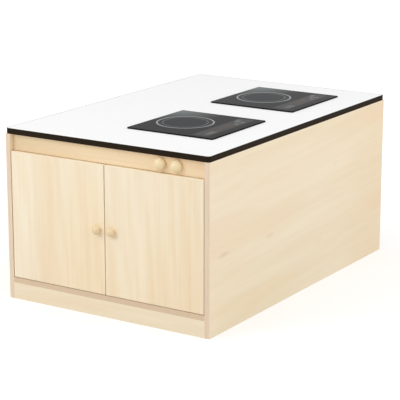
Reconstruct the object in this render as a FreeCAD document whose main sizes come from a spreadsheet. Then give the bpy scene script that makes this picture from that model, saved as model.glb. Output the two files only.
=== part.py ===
import FreeCAD, Part
import math
import os
import re

import Sketcher

# A low kitchen cabinet with two built-in induction hobs.
# +X is right, +Y is back and +Z is up. The doors face -Y.
# The origin lies on the floor, under the middle of the box that the cabinet and its door knobs fill.

sizes = {
    # The whole cabinet and its boards
    "width": 800,
    "depth": 1200,
    "height": 590,
    "board": 18,
    "edging": 2,
    "worktop_thickness": 19,
    "worktop_corner": 12,
    # The base
    "plinth_height": 57,
    # The fascia and the guard board that carries its foot
    "fascia_setback": 14,
    "fascia_height": 56,
    "guard_setback": 12.5,
    "guard_air_gap": 40,
    # The rail between the hobs and its air holes
    "rail_hole_radius": 18,
    "rail_hole_count": 5,
    "rail_hole_pitch": 120,
    # The shelf and its pins
    "shelf_z": 270,
    "shelf_setback": 110,
    "shelf_side_clearance": 1.5,
    "shelf_back_clearance": 4,
    "shelf_pin_radius": 2.5,
    "shelf_pin_depth": 9,
    "shelf_pin_reach": 8,
    "shelf_pin_collar": 4,
    "shelf_pin_collar_thickness": 1,
    "shelf_pin_inset": 60,
    "shelf_hole_pitch": 32,
    "shelf_hole_rows": 3,
    # The dowels of the carcass
    "dowel_radius": 4,
    "dowel_length": 30,
    "dowel_in_panel": 10,
    "dowel_inset": 80,
    "hole_clearance": 0.05,
    "hole_end_clearance": 1,
    # The back panel
    "vent_width": 100,
    "vent_height": 10,
    "vent_pitch": 130,
    "vent_count": 5,
    "vent_row_pitch": 28,
    "grommet_hole_radius": 25,
    "grommet_bore_radius": 20,
    "grommet_flange_radius": 31,
    "grommet_flange": 3,
    "grommet_z": 130,
    # The doors
    "door_gap": 3,
    "door_middle_gap": 3,
    "door_top_gap": 1.5,
    "door_bottom_gap": 2,
    "door_corner": 2,
    "door_edge_round": 1.5,
    # The door knobs
    "door_knob_length": 22,
    "door_knob_radius": 15,
    "door_knob_base_radius": 10,
    "door_knob_neck_radius": 8.5,
    "door_knob_neck": 5,
    "door_knob_rim": 10,
    "door_knob_inset": 27,
    "knob_screw_radius": 2,
    "knob_screw_depth": 12,
    "knob_screw_head_radius": 4,
    "knob_screw_head": 2.5,
    # The single-pivot cup hinges
    "hinge_end_inset": 90,
    "cup_radius": 17.5,
    "cup_wall": 1,
    "cup_floor": 0.8,
    "cup_depth": 13,
    "cup_edge_inset": 4,
    "cup_flange_radius": 19.5,
    "cup_flange": 1.2,
    "cup_wing_reach": 26,
    "cup_wing_width": 16,
    "pivot_inset": 13,
    "pivot_depth": 9.3,
    "pivot_pin_radius": 1.5,
    "pivot_pin_length": 28.4,
    "pivot_clearance": 0.05,
    "pivot_eye_radius": 3.2,
    "arm_thickness": 2.5,
    "arm_width": 14,
    "arm_crook_radius": 17,
    "arm_foot_length": 45,
    "plate_thickness": 2,
    "plate_width": 16,
    "plate_length": 42,
    "plate_start": 3,
    "plate_wing_reach": 25,
    "plate_wing_width": 16,
    "plate_hole_reach": 18,
    # The screws of the hinge plates and of the worktop brackets
    "screw_radius": 1.8,
    "screw_head_radius": 3.6,
    "screw_head": 2,
    "screw_depth": 12,
    "screw_hole_clearance": 0.2,
    # The catches
    "catch_length": 40,
    "catch_depth": 24,
    "catch_height": 12,
    "catch_chamfer": 2,
    "catch_inset": 40,
    "catch_gap": 0.4,
    "strike_length": 32,
    "strike_height": 10,
    "strike_thickness": 1,
    # The brackets that hold the worktop
    "bracket_leg": 25,
    "bracket_thickness": 2,
    "bracket_width": 30,
    "bracket_bend": 3,
    "bracket_inset": 150,
    # The control knobs, their spindles and switches
    "control_edge_inset": 127,
    "control_pitch": 62,
    "control_drop": 28,
    "control_knob_radius": 20.5,
    "control_knob_base_radius": 18.5,
    "control_knob_rim": 7,
    "control_knob_length": 24,
    "control_knob_gap": 0.5,
    "control_recess_radius": 10.5,
    "control_recess": 5,
    "spindle_radius": 3,
    "spindle_in_knob": 12,
    "spindle_in_switch": 11,
    "spindle_clearance": 0.05,
    "switch_pocket_radius": 17,
    "switch_pocket": 8,
    "switch_radius": 15,
    "switch_length": 24,
    "switch_bush_radius": 5,
    "switch_bush_reach": 4,
    "switch_end_clearance": 0.5,
    "switch_tag_length": 8,
    "switch_tag_width": 6,
    "switch_tag_thickness": 0.8,
    "switch_tag_reach": 10,
    "switch_tag_count": 4,
    "nut_radius": 8,
    "nut_thickness": 3,
    # The hobs in the worktop
    "hob_length": 335,
    "hob_breadth": 340,
    "hob_inset": 118,
    "front_hob_share": 0.3125,
    "rear_hob_share": 0.746,
    "glass_thickness": 4,
    "glass_corner": 5,
    "glass_bevel": 0.8,
    "seal_thickness": 0.8,
    "seal_setback": 2,
    "seal_width": 10,
    "cutout_lap": 15,
    "cutout_corner": 10,
    "tray_gap": 4,
    "tray_height": 50,
    "tray_wall": 1,
    "tray_corner": 6,
    "intake_inner_radius": 12,
    "intake_outer_radius": 34,
    "intake_slot": 6,
    "intake_count": 12,
    "exhaust_height": 18,
    "exhaust_slot": 5,
    "exhaust_pitch": 11,
    "exhaust_count": 9,
    # The induction coil of each hob
    "carrier_radius": 98,
    "carrier_gap": 3.5,
    "carrier_thickness": 4,
    "carrier_bore_radius": 7,
    "carrier_slot_width": 14,
    "carrier_slot_inset": 12,
    "carrier_slot_count": 8,
    "carrier_leg_radius": 4,
    "carrier_leg_inset": 10,
    "carrier_leg_count": 4,
    "coil_inset": 6,
    "coil_bore_radius": 26,
    "coil_thickness": 5,
    "coil_below_glass": 1.5,
    # The electronics of each hob
    "circuit_length": 96,
    "circuit_breadth": 110,
    "circuit_thickness": 1.6,
    "circuit_standoff": 5,
    "circuit_foot_width": 8,
    "sink_length": 60,
    "sink_breadth": 44,
    "sink_base": 4,
    "sink_height": 22,
    "sink_fin": 1.6,
    "sink_fin_count": 7,
    "capacitor_radius": 9,
    "capacitor_height": 20,
    "touch_width": 26,
    "touch_length": 190,
    "touch_wall": 2,
    "touch_gap": 0.3,
    # The cooling fan of each hob
    "fan_square": 80,
    "fan_height": 20,
    "fan_bore_radius": 38,
    "fan_strut": 5,
    "fan_strut_thickness": 2.5,
    "fan_hub_radius": 14,
    "fan_hub_height": 14,
    "fan_hub_wall": 2,
    "fan_axle_radius": 1.5,
    "fan_axle_length": 13,
    "fan_axle_clearance": 0.05,
    "fan_lift": 0.5,
    "fan_blade_count": 7,
    "fan_blade_reach": 34.5,
    "fan_blade_thickness": 1.4,
    "fan_blade_height": 12,
    "fan_root_chord": 6,
    "fan_tip_chord": 20,
    # The clamps that hold each hob in its cut-out
    "clamp_thickness": 1.5,
    "clamp_width": 20,
    "clamp_reach": 16,
    "clamp_leg": 16,
    "clamp_spacing": 180,
}

# What follows from the driving sizes
derived = {
    "front": "(door_knob_length - depth) / 2",
    "back": "front + depth",
    "inner_width": "width - 2 * board",
    "inner_left": "board - width / 2",
    "inner_right": "width / 2 - board",
    "deck": "height - worktop_thickness",
    "floor_top": "plinth_height + board",
    "door_bottom": "floor_top + door_bottom_gap",
    "guard_top": "deck - fascia_height",
    "guard_bottom": "guard_top - board",
    "door_top": "guard_top - door_top_gap",
    "door_height": "door_top - door_bottom",
    "door_middle": "(door_top + door_bottom) / 2",
    "door_width": "(inner_width - 2 * door_gap - door_middle_gap) / 2",
    "fascia_front": "front + fascia_setback",
    "fascia_back": "fascia_front + board",
    "guard_front": "fascia_front + guard_setback",
    "guard_back": "back - board - guard_air_gap",
    "hob_x": "width / 2 - hob_inset - hob_length / 2",
    "front_hob_y": "front + depth * front_hob_share",
    "rear_hob_y": "front + depth * rear_hob_share",
    "rail_y": "(front_hob_y + rear_hob_y) / 2",
    "shelf_front": "front + shelf_setback",
    "shelf_back": "back - board - shelf_back_clearance",
    "control_right": "width / 2 - control_edge_inset",
    "control_left": "control_right - control_pitch",
    "control_z": "deck - control_drop",
    "cutout_length": "hob_length - 2 * cutout_lap",
    "cutout_breadth": "hob_breadth - 2 * cutout_lap",
    "tray_length": "cutout_length - 2 * tray_gap",
    "tray_breadth": "cutout_breadth - 2 * tray_gap",
    "tray_floor": "seal_thickness - tray_height + tray_wall",
    "pivot_to_panel": "door_gap + pivot_inset",
    "door_behind_pivot": "board - pivot_depth",
    "hinge_reach": "door_height / 2 - hinge_end_inset",
    "coil_radius": "carrier_radius - coil_inset",
    "coil_top": "seal_thickness - coil_below_glass",
    "carrier_top": "coil_top - coil_thickness",
    "zone_offset": "tray_length / 2 - tray_wall - carrier_gap - carrier_radius",
    "fan_x": "zone_offset - tray_length / 2 + tray_wall + fan_square / 2",
    "catch_z": "guard_bottom - catch_height / 2",
}

doc = FreeCAD.newDocument("InductionHobCabinet")
sheet = doc.addObject("Spreadsheet::Sheet", "Sizes")
for row, (alias, size) in enumerate(sizes.items(), 1):
    sheet.set(f"A{row}", alias)
    sheet.set(f"B{row}", str(size))
    sheet.setAlias(f"B{row}", alias)
doc.recompute()

nodes = []
turn_over = FreeCAD.Rotation(FreeCAD.Vector(0, 1, 0), 180)
along_x = FreeCAD.Rotation(FreeCAD.Vector(0, 1, 0), 90)
along_y = FreeCAD.Rotation(FreeCAD.Vector(1, 0, 0), -90)
upright = FreeCAD.Rotation()
origin = ("0", "0", "0")


# Formulas, in the names of the two tables above

def formula(text):
    def cell(match):
        word = match.group(0)
        if word in derived:
            return "(" + formula(derived[word]) + ")"
        if word in sizes:
            return "Sizes." + word
        return word

    return re.sub(r"[a-z_]+", cell, text)


def number(text):
    return float(sheet.evalExpression(formula(text)))


def bind(thing, prop, text):
    thing.setExpression(prop, formula(text))


def place(thing, corner, rotation=upright):
    thing.Placement = FreeCAD.Placement(FreeCAD.Vector(), rotation)
    for axis, text in zip("xyz", corner):
        bind(thing, f"Placement.Base.{axis}", text)
    return thing


def node(label, thing):
    thing.Label = label
    nodes.append(thing)
    return thing


# Primitives and booleans

def box(name, corner, size):
    block = doc.addObject("Part::Box", name)
    for prop, text in zip(("Length", "Width", "Height"), size):
        bind(block, prop, text)
    return place(block, corner)


def cylinder(name, foot, radius, length, rotation=upright):
    rod = doc.addObject("Part::Cylinder", name)
    bind(rod, "Radius", radius)
    bind(rod, "Height", length)
    return place(rod, foot, rotation)


def gather(name, pieces):
    group = doc.addObject("Part::Compound", name)
    group.Links = pieces
    return group


def cut(name, base, tool):
    result = doc.addObject("Part::Cut", name)
    result.Base = base
    result.Tool = tool
    return result


def fuse(name, pieces):
    result = doc.addObject("Part::MultiFuse", name)
    result.Shapes = pieces
    return result


# Bodies, sketches and features

def body(name):
    return doc.addObject("PartDesign::Body", name)


def datum(owner, role):
    return next(item for item in owner.Origin.OriginFeatures if item.Role == role)


def sketch(owner, role, name, offset=origin):
    drawing = owner.newObject("Sketcher::SketchObject", name)
    drawing.AttachmentSupport = [(datum(owner, role), "")]
    drawing.MapMode = "FlatFace"
    for axis, text in zip("xyz", offset):
        bind(drawing, f"AttachmentOffset.Base.{axis}", text)
    return drawing


def fix(drawing, kind, place_of, text):
    index = drawing.addConstraint(Sketcher.Constraint(kind, *place_of, number(text)))
    bind(drawing, f"Constraints[{index}]", text)


def circle(drawing, x, y, radius):
    centre = FreeCAD.Vector(number(x), number(y), 0)
    index = drawing.addGeometry(Part.Circle(centre, FreeCAD.Vector(0, 0, 1), number(radius)))
    fix(drawing, "DistanceX", (index, 3), x)
    fix(drawing, "DistanceY", (index, 3), y)
    fix(drawing, "Radius", (index,), radius)


def arc_between(start, end, radius, left):
    # An arc of under a half circle, with its centre on the left of the way or on the right
    chord = end - start
    height = math.sqrt(max(radius * radius - chord.Length ** 2 / 4, 0))
    side = FreeCAD.Vector(-chord.y, chord.x, 0).normalize() * (height if left else -height)
    centre = (start + end) / 2 + side
    first, last = (start, end) if left else (end, start)
    angles = [math.atan2(point.y - centre.y, point.x - centre.x) for point in (first, last)]
    ring = Part.Circle(centre, FreeCAD.Vector(0, 0, 1), radius)
    return Part.ArcOfCircle(ring, angles[0], angles[1])


def outline(drawing, corners):
    # Each corner is (x, y) at the end of a line, or (x, y, radius, turn) at the end of an arc.
    # The turn is "left" or "right" on the way round.
    points = [FreeCAD.Vector(number(corner[0]), number(corner[1]), 0) for corner in corners]
    ends = []
    for index, corner in enumerate(corners):
        start = points[index - 1]
        if len(corner) == 2:
            edge = drawing.addGeometry(Part.LineSegment(start, points[index]))
            ends.append((edge, 1, 2))
            continue
        left = corner[3] == "left"
        edge = drawing.addGeometry(arc_between(start, points[index], number(corner[2]), left))
        ends.append((edge, 1, 2) if left else (edge, 2, 1))
    for index, corner in enumerate(corners):
        edge, _, last = ends[index]
        following, first, _ = ends[(index + 1) % len(corners)]
        drawing.addConstraint(Sketcher.Constraint("Coincident", edge, last, following, first))
    for index, corner in enumerate(corners):
        edge, _, last = ends[index]
        fix(drawing, "DistanceX", (edge, last), corner[0])
        fix(drawing, "DistanceY", (edge, last), corner[1])
        if len(corner) > 2:
            fix(drawing, "Radius", (edge,), corner[2])


def rectangle(drawing, low, high):
    outline(drawing, [low, (high[0], low[1]), high, (low[0], high[1])])


def rounded(drawing, low, high, radius):
    x0, y0, x1, y1 = low[0], low[1], high[0], high[1]
    outline(drawing, [
        (f"{x1} - ({radius})", y0),
        (x1, f"{y0} + {radius}", radius, "left"),
        (x1, f"{y1} - ({radius})"),
        (f"{x1} - ({radius})", y1, radius, "left"),
        (f"{x0} + {radius}", y1),
        (x0, f"{y1} - ({radius})", radius, "left"),
        (x0, f"{y0} + {radius}"),
        (f"{x0} + {radius}", y0, radius, "left"),
    ])


def slot(drawing, low, high, radius):
    # A slot with round ends, longer in X than in Y
    x0, y0, x1, y1 = low[0], low[1], high[0], high[1]
    outline(drawing, [
        (f"{x1} - {radius}", y0),
        (x1, f"{y0} + {radius}", radius, "left"),
        (f"{x1} - {radius}", y1, radius, "left"),
        (f"{x0} + {radius}", y1),
        (x0, f"{y0} + {radius}", radius, "left"),
        (f"{x0} + {radius}", y0, radius, "left"),
    ])


def pad(owner, drawing, length, name, reverse=False, both_sides=False):
    feature = owner.newObject("PartDesign::Pad", name)
    feature.Profile = drawing
    bind(feature, "Length", length)
    feature.Reversed = reverse
    if both_sides:
        feature.SideType = "Symmetric"
    return feature


def pocket(owner, drawing, depth, name, reverse=False, both_sides=False):
    feature = owner.newObject("PartDesign::Pocket", name)
    feature.Profile = drawing
    feature.Reversed = reverse
    if both_sides:
        feature.SideType = "Symmetric"
    bind(feature, "Length", depth)
    return feature


def revolve(owner, drawing, axis_role, name):
    feature = owner.newObject("PartDesign::Revolution", name)
    feature.Profile = drawing
    feature.ReferenceAxis = (datum(owner, axis_role), [""])
    feature.Angle = 360
    return feature


def row_of(owner, feature, axis_role, pitch, count, name):
    pattern = owner.newObject("PartDesign::LinearPattern", name)
    pattern.Originals = [feature]
    pattern.Direction = (datum(owner, axis_role), [""])
    pattern.Mode = "Spacing"
    bind(pattern, "Offset", pitch)
    bind(pattern, "Occurrences", count)
    owner.Tip = pattern
    return pattern


def ring_of(owner, feature, drawing, count, name):
    pattern = owner.newObject("PartDesign::PolarPattern", name)
    pattern.Originals = [feature]
    pattern.Axis = (drawing, ["N_Axis"])
    pattern.Angle = 360
    bind(pattern, "Occurrences", count)
    owner.Tip = pattern
    return pattern


def soften(owner, base, kind, size, chosen, name):
    # Rounds or bevels the edges of the last feature that the test picks
    doc.recompute()
    edges = [f"Edge{index}" for index, edge in enumerate(base.Shape.Edges, 1) if chosen(edge)]
    feature = owner.newObject(kind, name)
    feature.Base = (base, edges)
    bind(feature, "Radius" if kind.endswith("Fillet") else "Size", size)
    return feature


# Places that two or more pieces share

def dowel_places():
    front_row = "dowel_inset + front"
    guard_row = "dowel_inset + fascia_back"
    return [
        (front_row, "plinth_height + board / 2"),
        ("back - board - dowel_inset", "plinth_height + board / 2"),
        (guard_row, "guard_bottom + board / 2"),
        ("guard_back - dowel_inset", "guard_bottom + board / 2"),
        ("fascia_front + board / 2", "(guard_top + deck) / 2"),
        ("rail_y", "(guard_top + deck) / 2"),
    ]


def dowel_rods(name, radius, end_gap):
    rods = []
    for row, (y, z) in enumerate(dowel_places()):
        length = f"dowel_length + 2 * {end_gap}"
        left = (f"inner_left - dowel_in_panel - {end_gap}", y, z)
        right = (f"inner_right + dowel_in_panel + {end_gap} - ({length})", y, z)
        rods.append(cylinder(f"{name}_left_{row}", left, radius, length, along_x))
        rods.append(cylinder(f"{name}_right_{row}", right, radius, length, along_x))
    return gather(name, rods)


def shelf_pin_columns():
    return ["shelf_front + shelf_pin_inset", "(shelf_front + shelf_back) / 2", "shelf_back - shelf_pin_inset"]


def hinge_levels():
    return ["door_middle - hinge_reach", "door_middle + hinge_reach"]


def hinge_stations():
    # Side, place of the pivot and turn of each hinge
    stations = []
    for level in hinge_levels():
        height = "front + pivot_depth"
        stations.append(("left", ("inner_left + pivot_to_panel", height, level), upright))
        stations.append(("right", ("inner_right - pivot_to_panel", height, level), turn_over))
    return stations


def bracket_places():
    return ["fascia_back + bracket_inset", "back - board - bracket_inset"]


def panel_screws():
    # Screws that go out into the side panels, as (side, seat of the head, y, z)
    screws = []
    wing_y = "front + pivot_depth + arm_crook_radius + plate_start + plate_length / 2"
    for level in hinge_levels():
        for sign in ("-", "+"):
            screws.append(("plate_thickness", wing_y, f"{level} {sign} plate_hole_reach"))
    for y in bracket_places():
        screws.append(("bracket_thickness", y, "deck - bracket_leg / 2 - bracket_thickness / 2"))
    return screws


def deck_screws():
    # Screws that go up into the worktop, as (distance from the side panel, y)
    return [("bracket_leg / 2 + bracket_thickness / 2", y) for y in bracket_places()]


def screw_holes():
    holes = []
    radius = "screw_radius + screw_hole_clearance"
    for row, (seat, y, z) in enumerate(panel_screws()):
        depth = "screw_depth + hole_end_clearance"
        outer = (f"inner_left - ({depth})", y, z)
        holes.append(cylinder(f"left_screw_hole_{row}", outer, radius, depth, along_x))
        holes.append(cylinder(f"right_screw_hole_{row}", ("inner_right", y, z), radius, depth, along_x))
    for row, (reach, y) in enumerate(deck_screws()):
        depth = "screw_depth + hole_end_clearance"
        holes.append(cylinder(f"left_deck_hole_{row}", (f"inner_left + {reach}", y, "deck"), radius, depth))
        right = (f"inner_right - ({reach})", y, "deck")
        holes.append(cylinder(f"right_deck_hole_{row}", right, radius, depth))
    return gather("screw_holes", holes)


# The carcass

def shelf_holes():
    holes = []
    depth = "shelf_pin_depth + hole_end_clearance"
    for column, y in enumerate(shelf_pin_columns()):
        for row in range(int(number("shelf_hole_rows"))):
            level = f"shelf_z - shelf_pin_radius + ({row} - (shelf_hole_rows - 1) / 2) * shelf_hole_pitch"
            radius = "shelf_pin_radius + hole_clearance"
            left = (f"inner_left - ({depth})", y, level)
            holes.append(cylinder(f"left_shelf_hole_{column}_{row}", left, radius, depth, along_x))
            right = ("inner_right", y, level)
            holes.append(cylinder(f"right_shelf_hole_{column}_{row}", right, radius, depth, along_x))
    return gather("shelf_holes", holes)


def side_panels(drillings):
    size = ("board", "depth - edging", "deck")
    for side, x in (("left", "-width / 2"), ("right", "inner_right")):
        blank = box(f"{side}_panel_blank", (x, "front + edging", "0"), size)
        node(f"{side}_side_panel", cut(f"{side}_side_panel", blank, drillings))


def back_panel():
    panel = body("back_panel")
    face = sketch(panel, "XZ_Plane", "back_outline")
    rectangle(face, ("-inner_width / 2", "0"), ("inner_width / 2", "deck"))
    pad(panel, face, "board", "back_board")
    outlet = sketch(panel, "XZ_Plane", "back_outlet")
    circle(outlet, "0", "grommet_z", "grommet_hole_radius")
    pocket(panel, outlet, "board", "outlet_hole", reverse=True)
    vents = sketch(panel, "XZ_Plane", "back_vents")
    for level in ("(guard_top + deck - vent_row_pitch) / 2", "(guard_top + deck + vent_row_pitch) / 2"):
        left = "-(vent_count - 1) / 2 * vent_pitch"
        low = (f"{left} - vent_width / 2", f"{level} - vent_height / 2")
        high = (f"{left} + vent_width / 2", f"{level} + vent_height / 2")
        slot(vents, low, high, "vent_height / 2")
    first = pocket(panel, vents, "board", "vent_pair", reverse=True)
    row_of(panel, first, "X_Axis", "vent_pitch", "vent_count", "vent_rows")
    node("back_panel", place(panel, ("0", "back", "0")))


def cable_grommet():
    grommet = body("cable_grommet")
    half = sketch(grommet, "XY_Plane", "grommet_profile")
    outline(half, [
        ("grommet_bore_radius", "0"),
        ("grommet_hole_radius - hole_clearance", "0"),
        ("grommet_hole_radius - hole_clearance", "-board"),
        ("grommet_flange_radius", "-board"),
        ("grommet_flange_radius", "-board - grommet_flange / 2"),
        ("grommet_flange_radius - grommet_flange / 2", "-board - grommet_flange", "grommet_flange / 2", "right"),
        ("grommet_bore_radius", "-board - grommet_flange"),
    ])
    revolve(grommet, half, "Y_Axis", "grommet_ring")
    node("cable_grommet", place(grommet, ("0", "back", "grommet_z")))


def bottom_and_base(dowel_holes):
    size = ("inner_width", "back - board - front - edging", "board")
    blank = box("bottom_blank", ("inner_left", "front + edging", "plinth_height"), size)
    node("bottom_board", cut("bottom_board", blank, dowel_holes))
    size = ("inner_width", "board", "plinth_height")
    node("front_plinth", box("front_plinth", ("inner_left", "front", "0"), size))
    node("centre_bearer", box("centre_bearer", ("inner_left", "(front + back - board) / 2", "0"), size))


def fascia(dowel_holes):
    panel = body("fascia_panel")
    face = sketch(panel, "XZ_Plane", "fascia_outline")
    rectangle(face, ("inner_left", "guard_top"), ("inner_right", "deck"))
    pad(panel, face, "board", "fascia_blank", reverse=True)
    through = sketch(panel, "XZ_Plane", "bush_holes")
    behind = sketch(panel, "XZ_Plane", "switch_pockets", ("0", "0", "-board"))
    for x in ("control_left", "control_right"):
        circle(through, x, "control_z", "switch_bush_radius + hole_clearance")
        circle(behind, x, "control_z", "switch_pocket_radius")
    pocket(panel, through, "board", "bush_hole_pair")
    pocket(panel, behind, "switch_pocket", "switch_pocket_pair", reverse=True)
    place(panel, ("0", "fascia_front", "0"))
    node("fascia_board", cut("fascia_board", panel, dowel_holes))


def guard_and_rail(dowel_holes):
    size = ("inner_width", "guard_back - guard_front", "board")
    blank = box("guard_blank", ("inner_left", "guard_front", "guard_bottom"), size)
    node("guard_board", cut("guard_board", blank, dowel_holes))
    rail = body("rail")
    face = sketch(rail, "XZ_Plane", "rail_outline")
    rectangle(face, ("-inner_width / 2", "0"), ("inner_width / 2", "deck - guard_top"))
    pad(rail, face, "board", "rail_board", both_sides=True)
    hole = sketch(rail, "XZ_Plane", "rail_hole")
    start = "-(rail_hole_count - 1) / 2 * rail_hole_pitch"
    circle(hole, start, "(deck - guard_top) / 2", "rail_hole_radius")
    first = pocket(rail, hole, "board", "rail_air_hole", both_sides=True)
    row_of(rail, first, "X_Axis", "rail_hole_pitch", "rail_hole_count", "rail_air_holes")
    place(rail, ("0", "rail_y", "guard_top"))
    node("worktop_rail", cut("worktop_rail", rail, dowel_holes))


def carcass_edging():
    strips = []
    for side, x in (("left", "-width / 2"), ("right", "inner_right")):
        strips.append(box(f"{side}_panel_strip", (x, "front", "0"), ("board", "edging", "deck")))
    size = ("inner_width", "edging", "board")
    strips.append(box("bottom_strip", ("inner_left", "front", "plinth_height"), size))
    node("carcass_edging", gather("carcass_edging", strips))


def shelf():
    corner = ("inner_left + shelf_side_clearance", "shelf_front", "shelf_z")
    size = ("inner_width - 2 * shelf_side_clearance", "shelf_back - shelf_front", "board")
    node("adjustable_shelf", box("adjustable_shelf", corner, size))
    pins = []
    for column, y in enumerate(shelf_pin_columns()):
        for side, x, rotation in (("left", "inner_left", upright), ("right", "inner_right", turn_over)):
            name = f"{side}_shelf_pin_{column}"
            pin = body(name)
            half = sketch(pin, "XZ_Plane", f"{name}_profile")
            outline(half, [
                ("-shelf_pin_depth", "0"),
                ("shelf_pin_reach", "0"),
                ("shelf_pin_reach", "shelf_pin_radius"),
                ("shelf_pin_collar_thickness", "shelf_pin_radius"),
                ("shelf_pin_collar_thickness", "shelf_pin_collar"),
                ("0", "shelf_pin_collar"),
                ("0", "shelf_pin_radius"),
                ("-shelf_pin_depth", "shelf_pin_radius"),
            ])
            revolve(pin, half, "X_Axis", f"{name}_turned")
            pins.append(place(pin, (x, y, "shelf_z - shelf_pin_radius"), rotation))
    node("shelf_pins", gather("shelf_pins", pins))


# The worktop

def hob_places():
    return (("front", "front_hob_y"), ("rear", "rear_hob_y"))


def worktop():
    top = body("worktop_blank")
    face = sketch(top, "XY_Plane", "worktop_outline")
    low = ("edging - width / 2", "front + edging")
    high = ("width / 2 - edging", "back - edging")
    rounded(face, low, high, "worktop_corner - edging")
    for _, y in hob_places():
        low_cut = ("hob_x - cutout_length / 2", f"{y} - cutout_breadth / 2")
        high_cut = ("hob_x + cutout_length / 2", f"{y} + cutout_breadth / 2")
        rounded(face, low_cut, high_cut, "cutout_corner")
    pad(top, face, "worktop_thickness", "worktop_panel")
    place(top, ("0", "0", "deck"))
    band = body("worktop_edging")
    ring = sketch(band, "XY_Plane", "band_outline")
    rounded(ring, ("-width / 2", "front"), ("width / 2", "back"), "worktop_corner")
    rounded(ring, low, high, "worktop_corner - edging")
    pad(band, ring, "worktop_thickness", "worktop_band")
    node("worktop_edging", place(band, ("0", "0", "deck")))
    return top


def worktop_brackets():
    brackets = []
    for row, y in enumerate(bracket_places()):
        for side, x, sign in (("left", "inner_left", ""), ("right", "inner_right", "-")):
            name = f"{side}_bracket_{row}"
            angle = body(name)
            half = sketch(angle, "XZ_Plane", f"{name}_profile")
            turn = "left" if sign else "right"
            inner = "right" if sign else "left"
            outline(half, [
                ("0", "-bracket_leg"),
                ("0", "-bracket_bend - bracket_thickness"),
                (f"{sign}(bracket_bend + bracket_thickness)", "0", "bracket_bend + bracket_thickness", turn),
                (f"{sign}bracket_leg", "0"),
                (f"{sign}bracket_leg", "-bracket_thickness"),
                (f"{sign}(bracket_bend + bracket_thickness)", "-bracket_thickness"),
                (f"{sign}bracket_thickness", "-bracket_bend - bracket_thickness", "bracket_bend", inner),
                (f"{sign}bracket_thickness", "-bracket_leg"),
            ])
            pad(angle, half, "bracket_width", f"{name}_bent", both_sides=True)
            middle = "(bracket_leg + bracket_thickness) / 2"
            radius = "screw_radius + screw_hole_clearance"
            side_hole = sketch(angle, "YZ_Plane", f"{name}_side_hole")
            circle(side_hole, "0", f"-{middle}", radius)
            pocket(angle, side_hole, "2 * bracket_thickness", f"{name}_side_drilling", both_sides=True)
            top_hole = sketch(angle, "XY_Plane", f"{name}_top_hole")
            circle(top_hole, f"{sign}{middle}", "0", radius)
            pocket(angle, top_hole, "2 * bracket_thickness", f"{name}_top_drilling", both_sides=True)
            brackets.append(place(angle, (x, y, "deck")))
    node("worktop_brackets", gather("worktop_brackets", brackets))


# The doors and what is on them

def door_outline(drawing, margin):
    low = (margin, f"{margin} - door_height / 2")
    return low, (f"door_width - {margin}", f"door_height / 2 - {margin}")


def door(side, corner, rotation):
    core = body(f"{side}_door")
    face = sketch(core, "XZ_Plane", f"{side}_door_outline")
    low, high = door_outline(face, "edging")
    rectangle(face, low, high)
    pad(core, face, "board", f"{side}_door_board", reverse=True)
    behind = sketch(core, "XZ_Plane", f"{side}_cup_bores", ("0", "0", "-board"))
    for level in ("-hinge_reach", "hinge_reach"):
        circle(behind, "cup_edge_inset + cup_radius", level, "cup_radius + hole_clearance")
    pocket(core, behind, "cup_depth", f"{side}_cup_bore_pair", reverse=True)
    bore = sketch(core, "XZ_Plane", f"{side}_knob_bore")
    circle(bore, "door_width - door_knob_inset", "0", "knob_screw_radius + hole_clearance")
    pocket(core, bore, "board", f"{side}_knob_hole")
    node(f"{side}_door", place(core, corner, rotation))
    band = body(f"{side}_door_edging")
    ring = sketch(band, "XZ_Plane", f"{side}_band_outline")
    outer_low, outer_high = door_outline(ring, "0")
    rounded(ring, outer_low, outer_high, "door_corner")
    rectangle(ring, low, high)
    strip = pad(band, ring, "board", f"{side}_door_band", reverse=True)
    inside = [number("edging"), number("door_height / 2 - edging")]

    def outer_front_edge(edge):
        box_of = edge.BoundBox
        if box_of.YMax > number("hole_clearance"):
            return False
        away = abs(edge.CenterOfMass.z) > inside[1] + number("hole_clearance")
        end = edge.CenterOfMass.x < inside[0] - number("hole_clearance")
        other_end = edge.CenterOfMass.x > number("door_width") - inside[0] + number("hole_clearance")
        return away or end or other_end

    soften(band, strip, "PartDesign::Fillet", "door_edge_round", outer_front_edge, f"{side}_door_band_round")
    node(f"{side}_door_edging", place(band, corner, rotation))


def dome(radius, height):
    # The radius of a round crown that is level at its middle
    return f"(({radius}) * ({radius}) + ({height}) * ({height})) / (2 * ({height}))"


def turned_knob(name, corners):
    knob = body(name)
    half = sketch(knob, "XY_Plane", f"{name}_profile")
    outline(half, corners)
    revolve(knob, half, "Y_Axis", f"{name}_turned")
    return knob


def door_knob(side, corner):
    knob = turned_knob(f"{side}_door_knob", [
        ("0", "-knob_screw_depth"),
        ("knob_screw_radius + hole_clearance", "-knob_screw_depth"),
        ("knob_screw_radius + hole_clearance", "0"),
        ("door_knob_base_radius", "0"),
        ("door_knob_neck_radius", "-door_knob_neck", "2 * door_knob_neck", "right"),
        ("door_knob_radius", "-door_knob_rim", "2 * door_knob_neck", "left"),
        ("0", "-door_knob_length", dome("door_knob_radius", "door_knob_length - door_knob_rim"), "right"),
    ])
    node(f"{side}_door_knob", place(knob, corner))
    screw = body(f"{side}_knob_screw")
    half = sketch(screw, "XY_Plane", f"{side}_knob_screw_profile")
    outline(half, [
        ("0", "-knob_screw_depth + hole_end_clearance"),
        ("knob_screw_radius", "-knob_screw_depth + hole_end_clearance"),
        ("knob_screw_radius", "board"),
        ("knob_screw_head_radius", "board"),
        ("knob_screw_head_radius", "board + knob_screw_head / 2"),
        ("knob_screw_radius", "board + knob_screw_head", "2 * knob_screw_head", "left"),
        ("0", "board + knob_screw_head"),
    ])
    revolve(screw, half, "Y_Axis", f"{side}_knob_screw_turned")
    node(f"{side}_knob_screw", place(screw, corner))


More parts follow.
